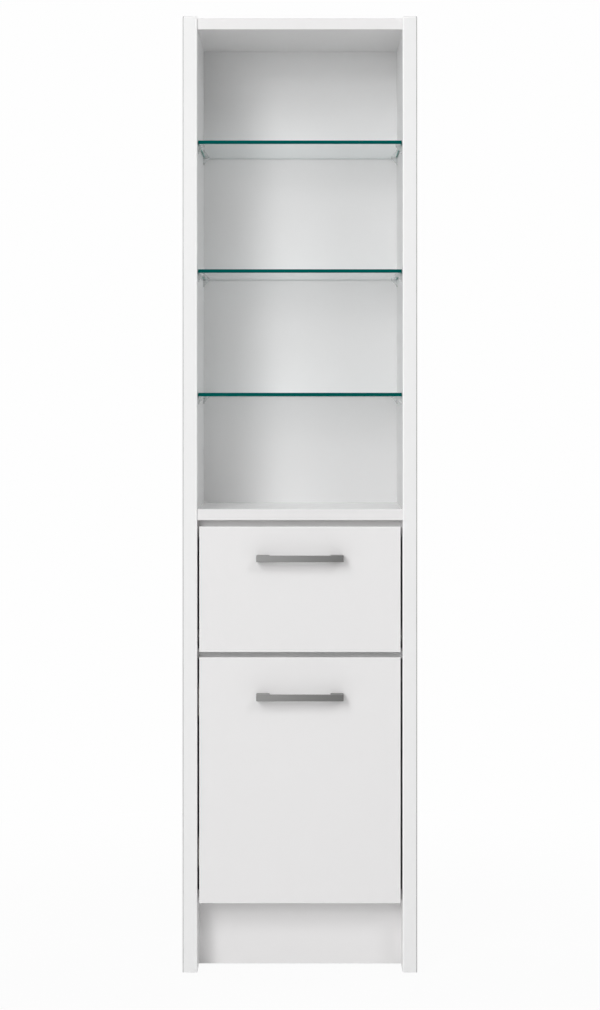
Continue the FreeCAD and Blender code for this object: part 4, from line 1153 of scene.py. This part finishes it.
# ------------------------------------------------------------------ sub-assemblies
@dataclass
class GlassShelf:
    """A glass pane with ground and polished edges.

    Args:
        level: Which shelf it is.
        arris: Width of the ground arris.
        margin: How far in from each end the end edge's green is painted on the underside, as a painted
            view of that edge through the glass from below.
    """

    level: Level
    arris: float = 0.0005
    margin: float = 0.0023

    def build(self, finishes: Finishes) -> None:
        """Model the pane in the space of its node.

        Args:
            finishes: The cabinet's finishes.
        """
        low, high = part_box(f"glass_shelf_{self.level}")
        pane = box_start(low, high)
        apply_modifier(pane, "BEVEL", {"width": self.arris, "segments": 2})
        edit(pane)
        slice_open(Axis.X, (low.x + self.margin, high.x - self.margin))
        leave()
        pane.name = pane.data.name = f"pane_{self.level}"
        dress(pane, finishes.pane.values())
        for face in pane.data.polygons:
            face.material_index = self._side(face, low, high)
        smooth(pane)
        settle(pane, Body.CABINET.value, f"glass_shelf_{self.level}")

    def _side(self, face: bpy.types.MeshPolygon, low: Vector, high: Vector) -> PaneSide:
        """Tell which side of the pane a face belongs to.

        Args:
            face: The face.
            low: Lowest corner of the pane.
            high: Highest corner of the pane.

        Returns:
            The side.
        """
        normal, place = face.normal, face.center
        flat = abs(normal.z) > SQUARE
        if place.y < low.y + 2 * self.arris and not flat:
            return PaneSide.FRONT
        if flat or place.z > high.z - 1.5 * self.arris:
            # Painted view through the glass: the underside strip by each end takes the end edge's pale
            # green.
            over_the_end = normal.z < -SQUARE and abs(place.x) > high.x - self.margin
            return PaneSide.END if over_the_end else PaneSide.CLEAR
        if place.z < low.z + 1.5 * self.arris:
            return PaneSide.FRONT
        return PaneSide.CLEAR if normal.y > FACING else PaneSide.END


@dataclass
class BridgeHandle:
    """A flat metal bar on two feet, rounded where the feet meet the bar.

    Args:
        node: The node that it stands for.
        body: The body that it rides on.
        foot: Width of a foot along the bar.
        bar: Thickness of the bar.
        inner_radius: Radius where a foot meets the bar.
        inner_segments: How many faces go round it.
        arris: Rounding of all other edges.
        arris_segments: How many faces go round each of them.
        arris_angle: The turn, in degrees, from which an edge is rounded.
    """

    node: str
    body: Body
    foot: float = 0.022
    bar: float = 0.008
    inner_radius: float = 0.005
    inner_segments: int = 8
    arris: float = 0.0006
    arris_segments: int = 3
    arris_angle: float = 50.0

    def build(self, finishes: Finishes) -> None:
        """Model the handle in the space of its node.

        Args:
            finishes: The cabinet's finishes.
        """
        low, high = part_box(self.node)
        bar_back = low.y + self.bar
        inner = high.x - self.foot
        handle = box_start(low, (high.x, bar_back, high.z))
        edit(handle)
        slice_open(Axis.X, (low.x + self.foot, inner))
        choose(handle, lambda f: f.normal.y > FACING and abs(f.center.x) > inner)
        extrude((0, high.y - bar_back, 0))
        choose(handle, lambda ends: all(abs(abs(p.x) - inner) < SAME_PLACE
                                        and abs(p.y - bar_back) < SAME_PLACE for p in ends),
               Element.EDGE)
        bpy.ops.mesh.bevel(offset=self.inner_radius, segments=self.inner_segments, affect="EDGES")
        leave()
        turn_outwards(handle)
        soften(handle, self.arris, self.arris_segments, self.arris_angle)
        handle.name = handle.data.name = f"bridge_{self.node}"
        dress(handle, [finishes.by_slot["handle_metal"]])
        settle(handle, self.body.value, self.node)


@dataclass
class ShelfSupports:
    """The four clear supports under one glass shelf: plate, ledge, gusset and pin.

    Args:
        level: Which shelf they carry.
        plate: Thickness of the plate on the side panel.
        ledge: Thickness of the ledge under the glass.
        tip_radius: Radius of the ledge's corners.
        tip_segments: How many faces go round each of them.
        reach: From the panel to the ledge's tip.
        rib: Thickness of the gusset.
        rib_inset: From the ledge's tip and the panel to the gusset.
        rib_margin: From the plate's lower end and the ledge to the gusset's corners.
        pin: Diameter of the pin.
        pin_sides: How many sides the pin has.
        pin_chamfer: Rounding of the pin's end.
        pin_segments: How many faces go over that rounding.
        rounding: Rounding of all sharp edges.
        rounding_segments: How many faces go round each of them.
        rounding_angle: The turn, in degrees, from which an edge is rounded.
    """

    level: Level
    plate: float = 0.0018
    ledge: float = 0.0024
    tip_radius: float = 0.0025
    tip_segments: int = 4
    reach: float = 0.0105
    rib: float = 0.003
    rib_inset: float = 0.0006
    rib_margin: float = 0.0004
    pin: float = 0.005
    pin_sides: int = 24
    pin_chamfer: float = 0.0006
    pin_segments: int = 2
    rounding: float = 0.0004
    rounding_segments: int = 2
    rounding_angle: float = 40.0

    def build(self, finishes: Finishes) -> None:
        """Model one support and copy it to the four places of its node.

        Args:
            finishes: The cabinet's finishes.
        """
        node = f"glass_supports_{self.level}"
        spans = solids_of(node)
        first_low, first_high = next(span for span in spans if span[0].x > 0)
        first = self._one(first_low, first_high)
        mirror = Matrix.Scale(-1, 4, (1, 0, 0))
        parts = []
        for low, _ in spans:
            if low.x > 0:
                place = Matrix.Translation(low - first_low)
            else:
                place = Matrix.Translation((0, low.y - first_low.y, 0)) @ mirror
            parts.append(copy_to(first, place))
        bpy.data.objects.remove(first)
        joined = join_all(parts, f"clear_supports_{self.level}")
        dress(joined, [finishes.by_slot["clear_plastic"]])
        settle(joined, Body.CABINET.value, node)

    def _one(self, low: Vector, high: Vector) -> bpy.types.Object:
        """Model one support for the right-hand panel, with the panel on its +X side.

        Args:
            low: Lowest corner of its box, from the ledge's tip.
            high: Highest corner of its box, with the pin's end.

        Returns:
            The support.
        """
        panel = low.x + self.reach
        support = self._plate_and_ledge(low, high, panel)
        combine(support, self._gusset(low, high, panel), "UNION")
        combine(support, self._pin(low, high, panel), "UNION")
        turn_outwards(support)
        soften(support, self.rounding, self.rounding_segments, self.rounding_angle)
        return support

    def _plate_and_ledge(self, low: Vector, high: Vector, panel: float) -> bpy.types.Object:
        """Model the plate and pull the ledge out of its top.

        Args:
            low: Lowest corner of the support.
            high: Highest corner of the support.
            panel: Where the side panel's face lies along X.

        Returns:
            The angle of plate and ledge.
        """
        under_ledge = high.z - self.ledge
        plate = box_start((panel - self.plate, low.y, low.z), (panel, high.y, high.z))
        edit(plate)
        slice_open(Axis.Z, (under_ledge,))
        choose(plate, lambda f: f.normal.x < -FACING and f.center.z > under_ledge)
        extrude((low.x - panel + self.plate, 0, 0))
        choose(plate, lambda ends: all(abs(p.x - low.x) < SAME_PLACE for p in ends)
               and abs(ends[0].y - ends[1].y) < SAME_PLACE, Element.EDGE)
        bpy.ops.mesh.bevel(offset=self.tip_radius, segments=self.tip_segments, affect="EDGES")
        leave()
        return plate

    def _gusset(self, low: Vector, high: Vector, panel: float) -> bpy.types.Object:
        """Model the gusset that stiffens the ledge, with its outer lower corner raised.

        Args:
            low: Lowest corner of the support.
            high: Highest corner of the support.
            panel: Where the side panel's face lies along X.

        Returns:
            The gusset.
        """
        middle = (low.y + high.y) / 2
        centre_x, centre_z = panel - self.reach / 2, (low.z + high.z) / 2
        gusset = box_start((low.x + self.rib_inset, middle - self.rib / 2, low.z + self.rib_margin),
                           (panel - self.rib_inset, middle + self.rib / 2, high.z - self.ledge / 2))
        edit(gusset)
        choose(gusset, lambda v: v.co.z < centre_z and v.co.x < centre_x, Element.VERTEX)
        lift = high.z - self.ledge - low.z - 2 * self.rib_margin
        bpy.ops.transform.translate(value=(0, 0, lift))
        leave()
        return gusset

    def _pin(self, low: Vector, high: Vector, panel: float) -> bpy.types.Object:
        """Model the pin that goes into the side panel.

        Args:
            low: Lowest corner of the support.
            high: Highest corner of the support.
            panel: Where the side panel's face lies along X.

        Returns:
            The pin.
        """
        start = panel - self.plate / 2
        middle = ((high.x + start) / 2, (low.y + high.y) / 2, (low.z + high.z) / 2)
        pin = rod_start(self.pin_sides, self.pin / 2, high.x - start, middle, (0, math.pi / 2, 0))
        edit(pin)
        choose(pin, lambda f: f.normal.x > FACING)
        bpy.ops.mesh.bevel(offset=self.pin_chamfer, segments=self.pin_segments, affect="EDGES")
        leave()
        return pin


@dataclass
class CrossScrews:
    """A node's screws: a domed head with a cross recess on a plain shank.

    Args:
        node: The node that they stand for.
        body: The body that they ride on.
        axis: The axis that they lie along.
        slot: The finish that they take.
        head: Height of the head.
        sides: How many sides a head has.
        dome_height: Most height of the dome, as a share of the head's height.
        dome_width: Most width of the dome, as a share of the head's diameter.
        dome_segments: How many rings of faces the dome has.
        dome_profile: How full its curve is; 0.5 is a round one.
        point: Length of the point, as a share of the shank's diameter.
        cross_length: Length of the cross, as a share of the head's diameter.
        cross_width: Width of its arms, as a share of the head's diameter.
        cross_depth: Depth of the cross, as a share of the head's height.
        deepest: Most depth of the cross, in metres.
        taper: Width of the point's end and of the cross's floor, as a share.
        crease: The turn, in degrees, from which an edge stays sharp.
        turn_each: How much further each screw is turned than the one before, in degrees.
    """

    node: str
    body: Body
    axis: Axis
    slot: str
    head: float
    sides: int = 40
    dome_height: float = 0.6
    dome_width: float = 0.2
    dome_segments: int = 5
    dome_profile: float = 0.6
    point: float = 0.4
    cross_length: float = 0.56
    cross_width: float = 0.13
    cross_depth: float = 0.62
    deepest: float = 0.0016
    taper: float = 0.5
    crease: float = 28.0
    turn_each: float = 37.0

    def build(self, finishes: Finishes) -> None:
        """Model one screw and copy it to every place of its node.

        Args:
            finishes: The cabinet's finishes.
        """
        spans = solids_of(self.node)
        along, across = self.axis.value, self._across()
        heads = [1.0 if self._width(span, 1.0) > self._width(span, -1.0) else -1.0 for span in spans]
        low, high = spans[0]
        source = self._one(high[across] - low[across], self._width(spans[0], -heads[0]),
                           high[along] - low[along])
        parts = []
        for (low, high), side in zip(spans, heads):
            outwards = Vector()
            outwards[along] = side
            aim = Vector((0, 0, 1)).rotation_difference(outwards).to_matrix().to_4x4()
            seat = (low + high) / 2
            seat[along] = (high[along] if side > 0 else low[along]) - side * self.head
            spin = Matrix.Rotation(math.radians(self.turn_each * len(parts)), 4, "Z")
            parts.append(copy_to(source, Matrix.Translation(seat) @ aim @ spin))
        bpy.data.objects.remove(source)
        joined = join_all(parts, f"cross_{self.node}")
        dress(joined, [finishes.by_slot[self.slot]])
        settle(joined, self.body.value, self.node)

    def _across(self) -> int:
        """The number of an axis square to the screws."""
        return 1 if self.axis is Axis.X else 0

    def _width(self, span: Span, side: float) -> float:
        """Measure how wide a screw of the node is at one of its ends.

        Args:
            span: The screw's box.
            side: +1 for its far end along the axis, -1 for its near end.

        Returns:
            The width there.
        """
        low, high = span
        along, across = self.axis.value, self._across()
        edge = high[along] if side > 0 else low[along]
        places = [v.co[across] for v in frame["nodes"][self.node].data.vertices
                  if all(low[i] - SAME_POINT <= v.co[i] <= high[i] + SAME_POINT for i in range(3))
                  and abs(v.co[along] - edge) < SAME_PLACE]
        return max(places) - min(places)

    def _one(self, diameter: float, shank: float, length: float) -> bpy.types.Object:
        """Model one screw with its head's seat at the origin and its shank down -Z.

        Args:
            diameter: Head diameter.
            shank: Shank diameter.
            length: Whole length.

        Returns:
            The screw.
        """
        screw = rod_start(self.sides, diameter / 2, self.head, (0, 0, self.head / 2))
        edit(screw)
        choose(screw, lambda f: f.normal.z > FACING)
        dome = min(self.head * self.dome_height, diameter * self.dome_width)
        bpy.ops.mesh.bevel(offset=dome, segments=self.dome_segments, affect="EDGES",
                           profile=self.dome_profile)
        choose(screw, lambda f: f.normal.z < -FACING)
        bpy.ops.mesh.inset(thickness=(diameter - shank) / 2, depth=0)
        choose(screw, lambda f: f.normal.z < -FACING and len(f.vertices) == self.sides)
        point = shank * self.point
        extrude((0, 0, self.head - length + point))
        extrude((0, 0, -point))
        bpy.ops.transform.resize(value=(self.taper, self.taper, 1))
        leave()
        self._cut_cross(screw, diameter)
        smooth(screw, self.crease)
        return screw

    def _cut_cross(self, screw: bpy.types.Object, diameter: float) -> None:
        """Cut the tapered cross into a screw's head.

        Args:
            screw: The screw.
            diameter: Its head's diameter.
        """
        long, wide = diameter * self.cross_length / 2, diameter * self.cross_width / 2
        deep = min(self.head * self.cross_depth, self.deepest)
        for turn in (0.0, math.pi / 2):
            arm = box_start((-long, -wide, self.head - deep), (long, wide, self.head + deep), turn)
            edit(arm)
            choose(arm, lambda f: f.normal.z < -FACING)
            bpy.ops.transform.resize(value=(self.taper, self.taper, 1))
            leave()
            combine(screw, arm, "DIFFERENCE")


# ------------------------------------------------------------------ studio
LIT_MIDDLE = (0.0, -0.1, 0.85)  # the point that every lamp faces


@dataclass(frozen=True)
class SoftLamp:
    """One soft box that faces the cabinet.

    Args:
        name: Its name.
        azimuth: Degrees from the front, to the right.
        elevation: Degrees above the middle of the cabinet.
        distance: Distance from there in metres.
        width: Width in metres.
        height: Height in metres.
        level: Share of plain white that it lights a surface to that faces it.
    """

    name: str
    azimuth: float
    elevation: float
    distance: float
    width: float
    height: float
    level: float

    def build(self) -> None:
        """Hang the lamp."""
        side, up = math.radians(self.azimuth), math.radians(self.elevation)
        away = Vector((math.sin(side) * math.cos(up), -math.cos(side) * math.cos(up), math.sin(up)))
        data = bpy.data.lights.new(self.name, "AREA")
        data.shape = "RECTANGLE"
        data.size, data.size_y = self.width, self.height
        data.energy = self.level * math.pi ** 2 * self.distance ** 2
        lamp = bpy.data.objects.new(self.name, data)
        lamp.location = Vector(LIT_MIDDLE) + away * self.distance
        lamp.rotation_euler = (-away).to_track_quat("-Z", "Y").to_euler()
        lamp.visible_camera = False
        bpy.context.scene.collection.objects.link(lamp)


LAMPS = (
    SoftLamp("key_lamp", -16.0, 9.0, 7.0, 3.0, 2.2, 0.195),
    SoftLamp("middle_lamp", -19.0, 19.0, 8.0, 1.8, 1.8, 0.134),
    SoftLamp("high_lamp", -24.0, 30.0, 8.0, 1.8, 1.8, 0.128),
    SoftLamp("fill_lamp", 28.0, 30.0, 7.0, 1.8, 1.8, 0.112),
    SoftLamp("left_rim_lamp", -125.0, 20.0, 5.0, 2.5, 2.5, 0.26),
    SoftLamp("right_rim_lamp", 125.0, 20.0, 5.0, 2.5, 2.5, 0.26),
)


@dataclass
class Studio:
    """The floor, the light and the camera.

    Args:
        camera_place: Where the camera stands.
        lens: Its focal length in millimetres.
        shift: Its shift along and up.
        near: The nearest that it sees, in metres.
        far: The farthest that it sees, in metres.
        world_strength: How bright the room is where it lights things.
        seen_white: Colour of the room and of the far floor, as they are seen.
        floor_radius: Radius of the floor.
        floor_sides: How many sides the floor has.
        floor_tone: Colour of the floor where it takes light and shadow.
        floor_shade: Colour in the darker clouds of that tone.
        shadow_reach: Where the floor starts to go over into the room, and where it has.
        glow_near: Share of the room's white in the floor close to the cabinet.
    """

    camera_place: tuple[float, float, float] = (0.0134, -4.48625, 0.981)
    lens: float = 91.0
    shift: tuple[float, float] = (-0.0077, -0.1053)
    near: float = 0.1
    far: float = 60.0
    world_strength: float = 0.31
    seen_white: Colour = (0.991, 0.991, 0.991)
    floor_radius: float = 6.0
    floor_sides: int = 96
    floor_tone: Colour = (0.84, 0.84, 0.84)
    floor_shade: Colour = (0.82, 0.82, 0.82)
    shadow_reach: tuple[float, float] = (0.35, 1.6)
    glow_near: float = 0.96

    def build(self) -> None:
        """Build the whole studio."""
        bpy.context.scene.view_settings.view_transform = "Standard"
        self.world()
        self.floor()
        for lamp in LAMPS:
            lamp.build()
        self.camera()

    def world(self) -> None:
        """Make a plain soft room: white where the camera, metal or glass sees it."""
        recipe = Recipe("soft_room", world=True)
        soft, seen = (recipe.signal("ShaderNodeBackground", {}, {"Color": colour, "Strength": strength})
                      for colour, strength in (((1.0, 1.0, 1.0), self.world_strength),
                                               (self.seen_white, 1.0)))
        mixed = recipe.signal("ShaderNodeMixShader", {}, {0: recipe.seen_directly(), 1: soft, 2: seen})
        bpy.context.scene.world = recipe.close(mixed)

    def floor(self) -> None:
        """Lay a wide pale floor that goes over into the room and keeps the cabinet's shadow."""
        clear_selection()
        bpy.ops.mesh.primitive_circle_add(vertices=self.floor_sides, radius=self.floor_radius,
                                          fill_type="NGON", location=(0, 0, 0))
        floor = bpy.context.active_object
        floor.name = "studio_floor"
        recipe = Recipe("pale_floor")
        away = recipe.signal("ShaderNodeVectorMath", {"operation": "LENGTH"},
                             {0: recipe.coordinates}, "Value")
        start, end = self.shadow_reach
        reach = recipe.signal("ShaderNodeMapRange", {"interpolation_type": "SMOOTHSTEP"},
                              {"Value": away, "From Min": start, "From Max": end,
                               "To Min": self.glow_near, "To Max": 1.0})
        matt = recipe.principled({
            "Base Color": recipe.blend(self.floor_tone, self.floor_shade, recipe.noise(3.0)),
            "Roughness": 0.8, "Specular IOR Level": 0.1})
        glow = recipe.signal("ShaderNodeEmission", {}, {"Color": self.seen_white, "Strength": 1.0})
        shader = recipe.signal("ShaderNodeMixShader", {},
                               {0: recipe.seen_directly() * reach, 1: matt, 2: glow})
        floor.data.materials.append(recipe.close(shader))

    def camera(self) -> None:
        """Set up the camera of the photograph, level and square to the front."""
        data = bpy.data.cameras.new("front_camera")
        data.lens = self.lens
        data.shift_x, data.shift_y = self.shift
        data.clip_start, data.clip_end = self.near, self.far
        camera = bpy.data.objects.new("front_camera", data)
        camera.location = self.camera_place
        camera.rotation_euler = (math.pi / 2, 0.0, 0.0)
        bpy.context.scene.collection.objects.link(camera)
        bpy.context.scene.camera = camera


# ------------------------------------------------------------------ the whole cabinet
SCREWS = (
    CrossScrews("back_panel_screws", Body.CABINET, Axis.Y, "zinc_steel", 0.0016),
    CrossScrews("wall_bracket_screws", Body.CABINET, Axis.Z, "zinc_steel", 0.0016),
    CrossScrews("cabinet_runner_screws", Body.CABINET, Axis.X, "zinc_steel", 0.0008),
    CrossScrews("drawer_runner_screws", Body.DRAWER, Axis.Z, "zinc_steel", 0.0016),
    CrossScrews("drawer_handle_screws", Body.DRAWER, Axis.Y, "zinc_steel", 0.0024),
    CrossScrews("door_handle_screws", Body.DOOR, Axis.Y, "zinc_steel", 0.0024),
    CrossScrews("door_screws", Body.DOOR, Axis.Y, "nickel_steel", 0.0012),
)


def main() -> None:
    """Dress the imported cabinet, add the detailed pieces and set the studio."""
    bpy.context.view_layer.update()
    finishes = Finishes()
    finishes.dress_nodes()
    for level in Level:
        GlassShelf(level).build(finishes)
        ShelfSupports(level).build(finishes)
    BridgeHandle("drawer_handle", Body.DRAWER).build(finishes)
    BridgeHandle("door_handle", Body.DOOR).build(finishes)
    for screws in SCREWS:
        screws.build(finishes)
    Studio().build()


if __name__ == "__main__":
    logging.basicConfig(level=logging.INFO)
    main()
